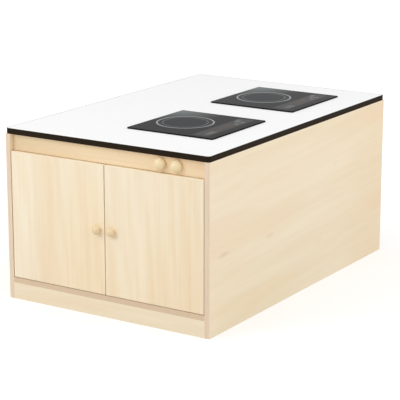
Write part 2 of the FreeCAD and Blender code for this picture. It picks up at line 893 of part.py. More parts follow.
def hinge_cup(name):
    # Its origin is the middle of the pivot pin
    cup = body(name)
    middle = "cup_edge_inset + cup_radius - pivot_inset"
    base = sketch(cup, "XZ_Plane", f"{name}_round", ("0", "0", "-door_behind_pivot"))
    circle(base, middle, "0", "cup_radius")
    pad(cup, base, "cup_depth", f"{name}_pot")
    rim = sketch(cup, "XZ_Plane", f"{name}_rim", ("0", "0", "-door_behind_pivot"))
    circle(rim, middle, "0", "cup_flange_radius")
    pad(cup, rim, "cup_flange", f"{name}_flange", reverse=True)
    wings = sketch(cup, "XZ_Plane", f"{name}_wings", ("0", "0", "-door_behind_pivot"))
    low = (f"{middle} - cup_wing_width / 2", "-cup_wing_reach")
    rounded(wings, low, (f"{middle} + cup_wing_width / 2", "cup_wing_reach"), "cup_wing_width / 4")
    pad(cup, wings, "cup_flange", f"{name}_wing_plate", reverse=True)
    hollow = sketch(cup, "XZ_Plane", f"{name}_mouth", ("0", "0", "-door_behind_pivot - cup_flange"))
    circle(hollow, middle, "0", "cup_radius - cup_wall")
    pocket(cup, hollow, "cup_depth + cup_flange - cup_floor", f"{name}_hollow", reverse=True)
    seat = sketch(cup, "XY_Plane", f"{name}_pin_seat")
    circle(seat, "0", "0", "pivot_pin_radius + pivot_clearance / 2")
    pocket(cup, seat, "2 * cup_radius", f"{name}_pin_bore", both_sides=True)
    return cup


def hinge_arm(name):
    # A flat steel arm, bent round the edge of the door: pivot at the origin, foot along the side panel
    arm = body(name)
    strip = sketch(arm, "XY_Plane", f"{name}_profile")
    outer = "arm_crook_radius + arm_thickness"
    half = "arm_thickness / 2"
    foot_out = "plate_thickness - pivot_to_panel"
    foot_in = f"{foot_out} + arm_thickness"
    start = f"sqrt(arm_crook_radius * arm_crook_radius - {half} * {half})"
    outline(strip, [
        ("0", f"-{half}"),
        (outer, f"-{half}"),
        (outer, "0"),
        ("0", outer, outer, "left"),
        (foot_in, outer),
        (foot_in, f"{outer} + arm_foot_length"),
        (foot_out, f"{outer} + arm_foot_length"),
        (foot_out, "arm_crook_radius"),
        ("0", "arm_crook_radius"),
        (start, half, "arm_crook_radius", "right"),
        ("0", half),
    ])
    pad(arm, strip, "arm_width", f"{name}_bent", both_sides=True)
    ring = sketch(arm, "XY_Plane", f"{name}_eye")
    circle(ring, "0", "0", "pivot_eye_radius")
    pad(arm, ring, "arm_width", f"{name}_eye_boss", both_sides=True)
    bore = sketch(arm, "XY_Plane", f"{name}_bore")
    circle(bore, "0", "0", "pivot_pin_radius + pivot_clearance")
    pocket(arm, bore, "2 * arm_width", f"{name}_eye_bore", both_sides=True)
    return arm


def hinge_plate(name):
    # A cross-shaped plate on the side panel, under the foot of the arm
    plate = body(name)
    cross = sketch(plate, "YZ_Plane", f"{name}_profile", ("0", "0", "-pivot_to_panel"))
    first = "arm_crook_radius + plate_start"
    last = f"{first} + plate_length"
    middle = f"{first} + plate_length / 2"
    half = "plate_width / 2"
    low = f"{middle} - plate_wing_width / 2"
    high = f"{middle} + plate_wing_width / 2"
    outline(cross, [
        (first, f"-{half}"),
        (low, f"-{half}"),
        (low, "-plate_wing_reach"),
        (high, "-plate_wing_reach"),
        (high, f"-{half}"),
        (last, f"-{half}"),
        (last, half),
        (high, half),
        (high, "plate_wing_reach"),
        (low, "plate_wing_reach"),
        (low, half),
        (first, half),
    ])
    for level in ("-plate_hole_reach", "plate_hole_reach"):
        circle(cross, middle, level, "screw_radius + screw_hole_clearance")
    pad(plate, cross, "plate_thickness", f"{name}_sheet")
    return plate


def hinges():
    arms = []
    plates = []
    for row, (side, pivot, rotation) in enumerate(hinge_stations()):
        arms.append(place(hinge_arm(f"{side}_arm_{row}"), pivot, rotation))
        plates.append(place(hinge_plate(f"{side}_plate_{row}"), pivot, rotation))
    node("hinge_arms", gather("hinge_arms", arms))
    node("hinge_plates", gather("hinge_plates", plates))
    for wanted in ("left", "right"):
        cups = []
        pins = []
        for row, (side, pivot, rotation) in enumerate(hinge_stations()):
            if side == wanted:
                cups.append(place(hinge_cup(f"{side}_cup_{row}"), pivot, rotation))
                foot = (pivot[0], pivot[1], f"{pivot[2]} - pivot_pin_length / 2")
                pins.append(cylinder(f"{side}_pin_{row}", foot, "pivot_pin_radius", "pivot_pin_length"))
        node(f"{wanted}_hinge_cups", gather(f"{wanted}_hinge_cups", cups))
        node(f"{wanted}_hinge_pins", gather(f"{wanted}_hinge_pins", pins))


def screw(name, seat, rotation):
    # Its shank runs along its own +X, and its head lies at -X from the seat
    piece = body(name)
    half = sketch(piece, "XZ_Plane", f"{name}_profile")
    outline(half, [
        ("-screw_head", "0"),
        ("screw_depth", "0"),
        ("screw_depth - screw_radius", "screw_radius"),
        ("0", "screw_radius"),
        ("0", "screw_head_radius"),
        ("-screw_head", "screw_radius", "2 * screw_head_radius", "left"),
    ])
    revolve(piece, half, "X_Axis", f"{name}_turned")
    return place(piece, seat, rotation)


def fixing_screws():
    upwards = FreeCAD.Rotation(FreeCAD.Vector(0, 1, 0), -90)
    screws = []
    for row, (seat, y, z) in enumerate(panel_screws()):
        screws.append(screw(f"left_screw_{row}", (f"inner_left + {seat}", y, z), turn_over))
        screws.append(screw(f"right_screw_{row}", (f"inner_right - {seat}", y, z), upright))
    for row, (reach, y) in enumerate(deck_screws()):
        level = "deck - bracket_thickness"
        screws.append(screw(f"left_deck_screw_{row}", (f"inner_left + {reach}", y, level), upwards))
        screws.append(screw(f"right_deck_screw_{row}", (f"inner_right - ({reach})", y, level), upwards))
    node("fixing_screws", gather("fixing_screws", screws))


def catches():
    blocks = []
    for side, sign in (("left", "-"), ("right", "")):
        name = f"{side}_catch"
        block = body(name)
        face = sketch(block, "XY_Plane", f"{name}_outline")
        corner = "catch_chamfer"
        outline(face, [
            ("-catch_length / 2", "0"),
            ("catch_length / 2", "0"),
            ("catch_length / 2", f"catch_depth - {corner}"),
            (f"catch_length / 2 - {corner}", "catch_depth"),
            (f"{corner} - catch_length / 2", "catch_depth"),
            ("-catch_length / 2", f"catch_depth - {corner}"),
        ])
        pad(block, face, "catch_height", f"{name}_block")
        y = "front + board + strike_thickness + catch_gap"
        blocks.append(place(block, (f"{sign}catch_inset", y, "guard_bottom - catch_height")))
        corner = (f"{sign}catch_inset - strike_length / 2", "front + board", "catch_z - strike_height / 2")
        size = ("strike_length", "strike_thickness", "strike_height")
        node(f"{side}_strike_plate", box(f"{side}_strike_plate", corner, size))
    node("door_catches", gather("door_catches", blocks))


# The controls on the fascia

def control(side, x):
    knob_foot = "fascia_front - control_knob_gap"
    crown = dome("control_knob_radius", "control_knob_length - control_knob_rim")
    knob = turned_knob(f"{side}_control_knob", [
        ("0", "-control_recess - spindle_in_knob"),
        ("spindle_radius + hole_clearance", "-control_recess - spindle_in_knob"),
        ("spindle_radius + hole_clearance", "-control_recess"),
        ("control_recess_radius", "-control_recess"),
        ("control_recess_radius", "0"),
        ("control_knob_base_radius", "0"),
        ("control_knob_radius", "-control_knob_rim", "2 * control_knob_rim", "left"),
        ("0", "-control_knob_length", crown, "right"),
    ])
    node(f"{side}_control_knob", place(knob, (x, knob_foot, "control_z")))
    start = f"{knob_foot} - control_recess - spindle_in_knob"
    switch_face = "fascia_back - switch_pocket"
    length = f"{switch_face} + spindle_in_switch - ({start})"
    spindle = cylinder(f"{side}_spindle", (x, start, "control_z"), "spindle_radius", length, along_y)
    node(f"{side}_control_spindle", spindle)
    switch = body(f"{side}_rotary_switch")
    half = sketch(switch, "XY_Plane", f"{side}_switch_profile")
    bush = "board - switch_pocket + switch_bush_reach"
    outline(half, [
        ("spindle_radius + spindle_clearance", f"-({bush})"),
        ("switch_bush_radius", f"-({bush})"),
        ("switch_bush_radius", "0"),
        ("switch_radius", "0"),
        ("switch_radius", "switch_length"),
        ("0", "switch_length"),
        ("0", "spindle_in_switch + switch_end_clearance"),
        ("spindle_radius + spindle_clearance", "spindle_in_switch + switch_end_clearance"),
    ])
    revolve(switch, half, "Y_Axis", f"{side}_switch_case")
    tag = sketch(switch, "XZ_Plane", f"{side}_switch_tag", ("0", "0", "-switch_length"))
    low = ("switch_tag_reach", "-switch_tag_width / 2")
    rectangle(tag, low, ("switch_tag_reach + switch_tag_thickness", "switch_tag_width / 2"))
    first = pad(switch, tag, "switch_tag_length", f"{side}_switch_contact", reverse=True)
    ring_of(switch, first, tag, "switch_tag_count", f"{side}_switch_contacts")
    node(f"{side}_rotary_switch", place(switch, (x, switch_face, "control_z")))
    nut = doc.addObject("Part::Prism", f"{side}_nut_blank")
    nut.Polygon = 6
    bind(nut, "Circumradius", "nut_radius")
    bind(nut, "Height", "nut_thickness")
    place(nut, (x, "fascia_front - nut_thickness", "control_z"), along_y)
    foot = (x, "fascia_front - 2 * nut_thickness", "control_z")
    radius = "switch_bush_radius + hole_clearance"
    thread = cylinder(f"{side}_nut_bore", foot, radius, "4 * nut_thickness", along_y)
    return cut(f"{side}_nut", nut, thread)


# The hobs: each piece is drawn about the middle of the hob, with the worktop's face at zero

def hob_outline(drawing, length, breadth, radius):
    low = (f"-({length}) / 2", f"-({breadth}) / 2")
    rounded(drawing, low, (f"({length}) / 2", f"({breadth}) / 2"), radius)


def hob_glass(name):
    glass = body(f"{name}_glass")
    face = sketch(glass, "XY_Plane", f"{name}_glass_outline", ("0", "0", "seal_thickness"))
    hob_outline(face, "hob_length", "hob_breadth", "glass_corner")
    plate = pad(glass, face, "glass_thickness", f"{name}_glass_plate")
    top = number("seal_thickness + glass_thickness - glass_bevel / 2")

    def top_edge(edge):
        return edge.BoundBox.ZMin > top

    soften(glass, plate, "PartDesign::Chamfer", "glass_bevel", top_edge, f"{name}_glass_edge")
    return glass


def hob_seal(name):
    seal = body(f"{name}_seal")
    ring = sketch(seal, "XY_Plane", f"{name}_seal_outline")
    setback = "2 * seal_setback"
    inner = "2 * seal_setback + 2 * seal_width"
    hob_outline(ring, f"hob_length - {setback}", f"hob_breadth - {setback}", "glass_corner")
    hob_outline(ring, f"hob_length - ({inner})", f"hob_breadth - ({inner})", "glass_corner")
    pad(seal, ring, "seal_thickness", f"{name}_seal_ring")
    return seal


def hob_tray(name):
    tray = body(f"{name}_tray")
    bottom = "seal_thickness - tray_height"
    face = sketch(tray, "XY_Plane", f"{name}_tray_outline", ("0", "0", bottom))
    hob_outline(face, "tray_length", "tray_breadth", "tray_corner")
    pad(tray, face, "tray_height", f"{name}_tray_block")
    inside = sketch(tray, "XY_Plane", f"{name}_tray_inside", ("0", "0", "seal_thickness"))
    inner = "2 * tray_wall"
    hob_outline(inside, f"tray_length - {inner}", f"tray_breadth - {inner}", "tray_corner - tray_wall")
    pocket(tray, inside, "tray_height - tray_wall", f"{name}_tray_hollow")
    intake = sketch(tray, "XY_Plane", f"{name}_intake", ("fan_x - zone_offset", "0", "tray_floor"))
    low = ("intake_inner_radius", "-intake_slot / 2")
    slot(intake, low, ("intake_outer_radius", "intake_slot / 2"), "intake_slot / 2")
    first = pocket(tray, intake, "tray_wall", f"{name}_intake_slot")
    ring_of(tray, first, intake, "intake_count", f"{name}_intake_slots")
    offset = ("0", "0", "tray_length / 2 - 2 * tray_wall")
    exhaust = sketch(tray, "YZ_Plane", f"{name}_exhaust", offset)
    start = "-(exhaust_count - 1) / 2 * exhaust_pitch"
    level = "tray_floor + exhaust_height / 2"
    low = (f"{start} - exhaust_slot / 2", level)
    rectangle(exhaust, low, (f"{start} + exhaust_slot / 2", f"{level} + exhaust_height"))
    first = pocket(tray, exhaust, "4 * tray_wall", f"{name}_exhaust_slot", reverse=True)
    row_of(tray, first, "Y_Axis", "exhaust_pitch", "exhaust_count", f"{name}_exhaust_slots")
    return tray


def coil_carrier(name):
    carrier = body(f"{name}_coil_carrier")
    face = sketch(carrier, "XY_Plane", f"{name}_carrier_outline", ("0", "0", "carrier_top"))
    circle(face, "0", "0", "carrier_radius")
    circle(face, "0", "0", "carrier_bore_radius")
    pad(carrier, face, "carrier_thickness", f"{name}_carrier_disc", reverse=True)
    opening = sketch(carrier, "XY_Plane", f"{name}_carrier_slot", ("0", "0", "carrier_top"))
    low = ("coil_bore_radius + coil_inset", "-carrier_slot_width / 2")
    high = ("carrier_radius - carrier_slot_inset", "carrier_slot_width / 2")
    slot(opening, low, high, "carrier_slot_width / 2")
    first = pocket(carrier, opening, "carrier_thickness", f"{name}_carrier_opening")
    ring_of(carrier, first, opening, "carrier_slot_count", f"{name}_carrier_openings")
    foot = sketch(carrier, "XY_Plane", f"{name}_carrier_foot", ("0", "0", "tray_floor"))
    reach = "(carrier_radius - carrier_leg_inset) / sqrt(2)"
    circle(foot, reach, reach, "carrier_leg_radius")
    length = "carrier_top - carrier_thickness / 2 - (tray_floor)"
    leg = pad(carrier, foot, length, f"{name}_carrier_leg")
    ring_of(carrier, leg, foot, "carrier_leg_count", f"{name}_carrier_legs")
    return carrier


def hob_coil(name):
    coil = body(f"{name}_coil")
    face = sketch(coil, "XY_Plane", f"{name}_coil_outline", ("0", "0", "coil_top"))
    circle(face, "0", "0", "coil_radius")
    circle(face, "0", "0", "coil_bore_radius")
    pad(coil, face, "coil_thickness", f"{name}_winding", reverse=True)
    return coil


def power_board(name):
    right = "tray_length / 2 - tray_wall - touch_width - 2 * tray_gap"
    left = f"{right} - circuit_length"
    lift = "tray_floor + circuit_standoff"
    size = ("circuit_length", "circuit_breadth", "circuit_thickness")
    pieces = [box(f"{name}_circuit", (left, "-circuit_breadth / 2", lift), size)]
    for row, x in enumerate((left, f"{right} - circuit_foot_width")):
        for column, y in enumerate(("-circuit_breadth / 2", "circuit_breadth / 2 - circuit_foot_width")):
            size = ("circuit_foot_width", "circuit_foot_width", "circuit_standoff")
            pieces.append(box(f"{name}_foot_{row}_{column}", (x, y, "tray_floor"), size))
    top = f"{lift} + circuit_thickness"
    sink = (f"{left} + circuit_foot_width", "circuit_foot_width - circuit_breadth / 2", top)
    pieces.append(box(f"{name}_sink_base", sink, ("sink_length", "sink_breadth", "sink_base")))
    for fin in range(int(number("sink_fin_count"))):
        y = f"{sink[1]} + {fin} * (sink_breadth - sink_fin) / (sink_fin_count - 1)"
        size = ("sink_length", "sink_fin", "sink_height")
        pieces.append(box(f"{name}_fin_{fin}", (sink[0], y, top), size))
    for row, x in enumerate((f"{left} + 2 * capacitor_radius", f"{left} + 5 * capacitor_radius")):
        foot = (x, "circuit_breadth / 2 - 2 * capacitor_radius", top)
        pieces.append(cylinder(f"{name}_capacitor_{row}", foot, "capacitor_radius", "capacitor_height"))
    return fuse(f"{name}_power_board", pieces)


def touch_module(name):
    # A holder that stands on the tray and carries the touch board under the glass
    holder = body(f"{name}_touch_module")
    face = sketch(holder, "XZ_Plane", f"{name}_touch_profile")
    right = "tray_length / 2 - tray_wall - tray_gap"
    left = f"{right} - touch_width"
    top = "seal_thickness - touch_gap"
    outline(face, [
        (left, "tray_floor"),
        (f"{left} + touch_wall", "tray_floor"),
        (f"{left} + touch_wall", f"{top} - 2 * touch_wall"),
        (f"{right} - touch_wall", f"{top} - 2 * touch_wall"),
        (f"{right} - touch_wall", "tray_floor"),
        (right, "tray_floor"),
        (right, top),
        (left, top),
    ])
    pad(holder, face, "touch_length", f"{name}_touch_holder", both_sides=True)
    return holder


def fan_frame(name):
    # Its origin is on the axle, on the floor of the tray
    frame = body(f"{name}_fan_frame")
    face = sketch(frame, "XY_Plane", f"{name}_fan_outline")
    hob_outline(face, "fan_square", "fan_square", "glass_corner")
    circle(face, "0", "0", "fan_bore_radius")
    pad(frame, face, "fan_height", f"{name}_fan_housing")
    reach = "(fan_bore_radius + fan_square / 2) / 2"
    for row, (x, y) in enumerate(((reach, "fan_strut / 2"), ("fan_strut / 2", reach))):
        strut = sketch(frame, "XY_Plane", f"{name}_fan_strut_{row}")
        rectangle(strut, (f"-{x}", f"-{y}"), (x, y))
        pad(frame, strut, "fan_strut_thickness", f"{name}_fan_arm_{row}")
    seat = sketch(frame, "XY_Plane", f"{name}_fan_seat")
    circle(seat, "0", "0", "fan_hub_radius - fan_hub_wall")
    pad(frame, seat, "fan_strut_thickness", f"{name}_fan_motor_seat")
    axle = sketch(frame, "XY_Plane", f"{name}_fan_axle")
    circle(axle, "0", "0", "fan_axle_radius")
    pad(frame, axle, "fan_axle_length", f"{name}_fan_pin")
    return frame


def blade_section(drawing, chord, foot, height, thickness):
    outline(drawing, [
        (f"-({chord}) / 2", foot),
        (f"{thickness} - ({chord}) / 2", foot),
        (f"({chord}) / 2", f"{foot} + {height}"),
        (f"({chord}) / 2 - {thickness}", f"{foot} + {height}"),
    ])


def fan_impeller(name):
    # Its origin is on the axle, at the foot of the hub
    rotor = body(f"{name}_fan_impeller")
    half = sketch(rotor, "XZ_Plane", f"{name}_hub_profile")
    bore = "fan_axle_radius + fan_axle_clearance"
    outline(half, [
        (bore, "0"),
        ("fan_hub_radius", "0"),
        ("fan_hub_radius", "fan_hub_height - fan_hub_wall"),
        ("fan_hub_radius - fan_hub_wall", "fan_hub_height", "fan_hub_wall", "left"),
        ("0", "fan_hub_height"),
        ("0", "fan_axle_length - fan_strut_thickness"),
        (bore, "fan_axle_length - fan_strut_thickness"),
    ])
    revolve(rotor, half, "Z_Axis", f"{name}_hub")
    foot = "(fan_hub_height - fan_blade_height) / 2"
    root = sketch(rotor, "YZ_Plane", f"{name}_blade_root", ("0", "0", "fan_hub_radius - fan_hub_wall"))
    blade_section(root, "fan_root_chord", foot, "fan_blade_height", "fan_blade_thickness")
    tip = sketch(rotor, "YZ_Plane", f"{name}_blade_tip", ("0", "0", "fan_blade_reach"))
    blade_section(tip, "fan_tip_chord", foot, "fan_blade_height", "2 * fan_blade_thickness")
    blade = rotor.newObject("PartDesign::AdditiveLoft", f"{name}_blade")
    blade.Profile = root
    blade.Sections = [tip]
    blade.Ruled = True
    round_hub = sketch(rotor, "XY_Plane", f"{name}_blade_ring")
    ring_of(rotor, blade, round_hub, "fan_blade_count", f"{name}_blades")
    return rotor


def hob_clamps(name, y):
    clamps = []
    for row, (x, sign) in enumerate((("hob_x - tray_length / 2", "-"), ("hob_x + tray_length / 2", ""))):
        for column, shift in enumerate(("-clamp_spacing / 2", "clamp_spacing / 2")):
            clamp = body(f"{name}_clamp_{row}_{column}")
            half = sketch(clamp, "XZ_Plane", f"{name}_clamp_profile_{row}_{column}")
            top = "-worktop_thickness"
            outline(half, [
                ("0", top),
                (f"{sign}clamp_reach", top),
                (f"{sign}clamp_reach", f"{top} - clamp_thickness"),
                (f"{sign}clamp_thickness", f"{top} - clamp_thickness"),
                (f"{sign}clamp_thickness", f"{top} - clamp_leg"),
                ("0", f"{top} - clamp_leg"),
            ])
            pad(clamp, half, "clamp_width", f"{name}_clamp_strip_{row}_{column}", both_sides=True)
            clamps.append(place(clamp, (x, f"{y} + {shift}", "height")))
    return clamps


def hob(name, y):
    middle = ("hob_x", y, "height")
    zone = ("hob_x - zone_offset", y, "height")
    node(f"{name}_glass", place(hob_glass(name), middle))
    node(f"{name}_tray", place(hob_tray(name), middle))
    node(f"{name}_coil_carrier", place(coil_carrier(name), zone))
    node(f"{name}_coil", place(hob_coil(name), zone))
    node(f"{name}_power_board", place(power_board(name), middle))
    node(f"{name}_touch_module", place(touch_module(name), middle))
    axle = ("hob_x - zone_offset + fan_x", y, "height + tray_floor")
    node(f"{name}_fan_frame", place(fan_frame(name), axle))
    lifted = (axle[0], axle[1], f"{axle[2]} + fan_strut_thickness + fan_lift")
    node(f"{name}_fan_impeller", place(fan_impeller(name), lifted))
    return place(hob_seal(name), middle), hob_clamps(name, y)


# Building the cabinet

dowel_holes = dowel_rods("dowel_holes", "dowel_radius + hole_clearance", "hole_end_clearance")
drilled_screws = screw_holes()
side_panels(gather("panel_drillings", [dowel_holes, drilled_screws, shelf_holes()]))
back_panel()
cable_grommet()
bottom_and_base(dowel_holes)
fascia(dowel_holes)
guard_and_rail(dowel_holes)
carcass_edging()
node("carcass_dowels", dowel_rods("carcass_dowels", "dowel_radius", "0"))
shelf()
node("worktop_board", cut("worktop_board", worktop(), drilled_screws))
worktop_brackets()

door("left", ("inner_left + door_gap", "front", "door_middle"), upright)
door("right", ("inner_right - door_gap", "front", "door_middle"), turn_over)
knob_reach = "door_middle_gap / 2 + door_knob_inset"
door_knob("left", (f"-({knob_reach})", "front", "door_middle"))
door_knob("right", (knob_reach, "front", "door_middle"))
hinges()
fixing_screws()
catches()

nuts = [control("left", "control_left"), control("right", "control_right")]
node("switch_nuts", gather("switch_nuts", nuts))

seals = []
clamps = []
for name, y in hob_places():
    seal, clips = hob(f"{name}_hob", y)
    seals.append(seal)
    clamps.extend(clips)
node("hob_seals", gather("hob_seals", seals))
node("hob_clamps", gather("hob_clamps", clamps))

doc.recompute()

for item in doc.Objects:
    if "Invalid" in item.State or "Error" in item.State:
        raise RuntimeError(f"{item.Label} failed: {item.State}")
for item in doc.Objects:
    if item.TypeId == "PartDesign::Pocket":
        before = item.BaseFeature.Shape.Volume
        if item.Shape.Volume >= before:
            raise RuntimeError(f"{item.Label} cuts nothing")
for item in nodes:
    if item.Shape.isNull() or not item.Shape.isValid() or not item.Shape.Solids:
        raise RuntimeError(f"{item.Label} has no valid solid")

os.makedirs("parts", exist_ok=True)
for item in nodes:
    item.Shape.exportStep(os.path.join("parts", f"{item.Label}.step"))
print(len(nodes), "pieces written")
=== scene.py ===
import math

import bpy
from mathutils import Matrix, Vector


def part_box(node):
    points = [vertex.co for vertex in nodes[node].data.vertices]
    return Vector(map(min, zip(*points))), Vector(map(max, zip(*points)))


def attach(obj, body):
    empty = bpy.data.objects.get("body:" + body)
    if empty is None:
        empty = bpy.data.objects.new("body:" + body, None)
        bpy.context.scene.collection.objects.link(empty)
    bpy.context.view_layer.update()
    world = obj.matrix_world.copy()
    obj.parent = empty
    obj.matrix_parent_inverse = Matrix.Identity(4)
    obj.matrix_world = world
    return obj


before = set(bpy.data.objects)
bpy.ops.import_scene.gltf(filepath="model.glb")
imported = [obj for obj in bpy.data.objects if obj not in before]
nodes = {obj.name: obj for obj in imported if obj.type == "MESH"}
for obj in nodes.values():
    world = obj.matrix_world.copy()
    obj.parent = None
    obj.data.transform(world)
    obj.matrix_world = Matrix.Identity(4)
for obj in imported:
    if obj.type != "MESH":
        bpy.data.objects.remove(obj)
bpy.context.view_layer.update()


# Small helpers

def srgb(red, green, blue):
    # a colour as a paint shop writes it, 0 to 255, turned into the linear one that shaders use
    channels = [c / 255 for c in (red, green, blue)]
    return tuple(c / 12.92 if c <= 0.04045 else ((c + 0.055) / 1.055) ** 2.4 for c in channels) + (1.0,)


def put(tree, kind, inputs=None, **settings):
    # a new node with its settings and the values of its inputs
    made = tree.nodes.new(kind)
    for name, value in settings.items():
        setattr(made, name, value)
    for name, value in (inputs or {}).items():
        made.inputs[name].default_value = value
    return made


def wire(tree, start, end):
    tree.links.new(start, end)


def feed(tree, side, socket):
    # a number or colour is set on the socket, and an output is wired to it
    if isinstance(side, (int, float, tuple)):
        socket.default_value = side
    else:
        wire(tree, side, socket)


def calc(tree, operation, first, second=None, clamp=False):
    # a Math node; each side is a number or the output that feeds it
    made = put(tree, "ShaderNodeMath", operation=operation, use_clamp=clamp)
    feed(tree, first, made.inputs[0])
    if second is not None:
        feed(tree, second, made.inputs[1])
    return made.outputs[0]


def about(tree, value, gain, middle=0.5, clamp=False):
    # how far the value lies above the middle, times the gain; 0.5 is the middle of a noise texture
    return calc(tree, "MULTIPLY", calc(tree, "SUBTRACT", value, middle, clamp), gain, clamp)


def gained(tree, value, gain, base):
    return calc(tree, "ADD", calc(tree, "MULTIPLY", value, gain), base)


def shared(tree, first, firstShare, second, secondShare, clamp=False):
    first = calc(tree, "MULTIPLY", first, firstShare)
    return calc(tree, "ADD", first, calc(tree, "MULTIPLY", second, secondShare), clamp)


def blendColors(tree, factor, first, second, mode="MIX"):
    made = put(tree, "ShaderNodeMix", data_type="RGBA", blend_type=mode)
    for index, side in ((0, factor), (6, first), (7, second)):  # the sockets that a colour mix uses
        feed(tree, side, made.inputs[index])
    return made.outputs[2]


def mapped(tree, vector, **values):
    # the vector through a Mapping node, with its Location, Rotation or Scale
    made = put(tree, "ShaderNodeMapping", values)
    wire(tree, vector, made.inputs["Vector"])
    return made.outputs[0]


def weighted(tree, vector, weights):
    # each part of the vector times its weight; a weight of 0 leaves that direction out
    made = put(tree, "ShaderNodeVectorMath", {1: weights}, operation="MULTIPLY")
    wire(tree, vector, made.inputs[0])
    return made.outputs[0]


def lengthOf(tree, vector):
    made = put(tree, "ShaderNodeVectorMath", operation="LENGTH")
    wire(tree, vector, made.inputs[0])
    return made.outputs["Value"]


def stretchedNoise(tree, vector, scale, detail):
    noise = put(tree, "ShaderNodeTexNoise", {"Scale": 1.0, "Detail": detail, "Roughness": 0.5})
    wire(tree, mapped(tree, vector, Scale=scale), noise.inputs["Vector"])
    return noise.outputs[0]


def newGroup(name, inputs, outputs):
    kinds = {"value": "NodeSocketFloat", "color": "NodeSocketColor", "vector": "NodeSocketVector"}
    group = bpy.data.node_groups.new(name, "ShaderNodeTree")
    for label, kind in inputs.items():
        group.interface.new_socket(label, in_out="INPUT", socket_type=kinds[kind])
    for label, kind in outputs.items():
        group.interface.new_socket(label, in_out="OUTPUT", socket_type=kinds[kind])
    return group, group.nodes.new("NodeGroupInput").outputs, group.nodes.new("NodeGroupOutput").inputs


def placeGroup(tree, group, **sides):
    made = put(tree, "ShaderNodeGroup", node_tree=group)
    for name, side in sides.items():
        feed(tree, side, made.inputs[name])
    return made.outputs


def newMaterial(name, **sockets):
    # a material with its Principled BSDF and Object coordinates; the sockets hold the constant values
    material = bpy.data.materials.new(name)
    material.use_nodes = True
    tree = material.node_tree
    shader = tree.nodes["Principled BSDF"]
    for label, value in sockets.items():
        shader.inputs[label.replace("_", " ")].default_value = value
    place = put(tree, "ShaderNodeTexCoord").outputs["Object"]
    return material, tree, shader, place


def finishSurface(tree, shader, color, roughness, height, bump):
    # what every finish sets; bump is its strength and its depth
    wire(tree, color, shader.inputs["Base Color"])
    wire(tree, roughness, shader.inputs["Roughness"])
    relief = put(tree, "ShaderNodeBump", {"Strength": bump[0], "Distance": bump[1]})
    wire(tree, height, relief.inputs["Height"])
    wire(tree, relief.outputs[0], shader.inputs["Normal"])


def dress(material, *names):
    for name in names:
        for slot in nodes[name].material_slots:
            slot.material = material


# Shared effects; each noise is given by its scale and its detail, each roughness by its gain and its base

skinOutputs = {"Color": "color", "Height": "value", "Roughness": "value"}
grainFigure = {
    "bands": ((13, 13, 0.7), 2.0),
    "bandGain": 2.3,
    "streaks": ((150, 150, 2.6), 3.0),
    "streakGain": 0.9,
    "fibres": ((900, 900, 22), 2.0),
    "fibreGain": 0.35,
    "lineStretch": (1, 1, 0.09),
    "lineScale": 13.0,
    "lineBend": 7.0,
    "lineGain": 0.32,
    "depth": 0.42,
    "blush": ((7, 7, 1.3), 1.0),
    "blushFrom": 0.47,
    "blushGain": 1.6,
    "rough": (0.12, 0.36),
}
knotShape = {
    "wobble": ((60, 60, 60), 2.0),
    "ragged": 0.7,
}
toothSkin = {
    "fine": ((1, 1, 1), 3.0),
    "fineShare": 0.4,
    "broad": ((9, 9, 9), 2.0),
    "broadShare": 0.6,
    "roughGain": 0.16,
}
scratchSkin = {
    "scratches": ((60, 1800, 1800), 2.0),
    "scratchShare": 0.5,
    "clouds": ((45, 45, 45), 3.0),
    "cloudShare": 0.5,
    "roughGain": 0.2,
}


def makeGrain():
    # maple figure that runs along Z: broad bands, growth lines, fine streaks and short flecks
    group, start, end = newGroup("mapleGrain", {
        "Vector": "vector", "Pale": "color", "Deep": "color", "Blush": "color", "Contrast": "value",
    }, skinOutputs)
    bands = stretchedNoise(group, start["Vector"], *grainFigure["bands"])
    streaks = stretchedNoise(group, start["Vector"], *grainFigure["streaks"])
    fibres = stretchedNoise(group, start["Vector"], *grainFigure["fibres"])
    blush = stretchedNoise(group, start["Vector"], *grainFigure["blush"])
    lines = put(group, "ShaderNodeTexWave", {
        "Scale": grainFigure["lineScale"], "Distortion": grainFigure["lineBend"],
        "Detail": 2.0, "Detail Scale": 1.6, "Detail Roughness": 0.55,
    }, wave_type="BANDS", bands_direction="DIAGONAL", wave_profile="SIN")
    wire(group, mapped(group, start["Vector"], Scale=grainFigure["lineStretch"]), lines.inputs["Vector"])
    figure = about(group, bands, grainFigure["bandGain"])
    for texture, gain in ((streaks, "streakGain"), (lines.outputs["Fac"], "lineGain"), (fibres, "fibreGain")):
        figure = calc(group, "ADD", figure, about(group, texture, grainFigure[gain]))
    figure = calc(group, "MULTIPLY", figure, start["Contrast"])
    figure = calc(group, "ADD", figure, grainFigure["depth"], clamp=True)
    color = blendColors(group, figure, start["Pale"], start["Deep"])
    pink = about(group, blush, grainFigure["blushGain"], grainFigure["blushFrom"], clamp=True)
    wire(group, blendColors(group, pink, color, start["Blush"]), end["Color"])
    wire(group, fibres, end["Height"])
    wire(group, gained(group, streaks, *grainFigure["rough"]), end["Roughness"])
    return group


def makeKnot():
    # an eye of darker wood round the origin of its vector
    group, start, end = newGroup("smallKnot", {"Vector": "vector", "Size": "value"}, {"Mask": "value"})
    wobble = stretchedNoise(group, start["Vector"], *knotShape["wobble"])
    reach = calc(group, "DIVIDE", lengthOf(group, start["Vector"]), start["Size"])
    reach = calc(group, "ADD", reach, about(group, wobble, knotShape["ragged"]))
    wire(group, calc(group, "SUBTRACT", 1.0, reach, clamp=True), end["Mask"])
    return group


def tinted(tree, base, tone, spread):
    # the base colour, made paler or darker by the tone
    tint = put(tree, "ShaderNodeHueSaturation")
    wire(tree, calc(tree, "ADD", about(tree, tone, spread), 1.0), tint.inputs["Value"])
    wire(tree, base, tint.inputs["Color"])
    return tint.outputs[0]


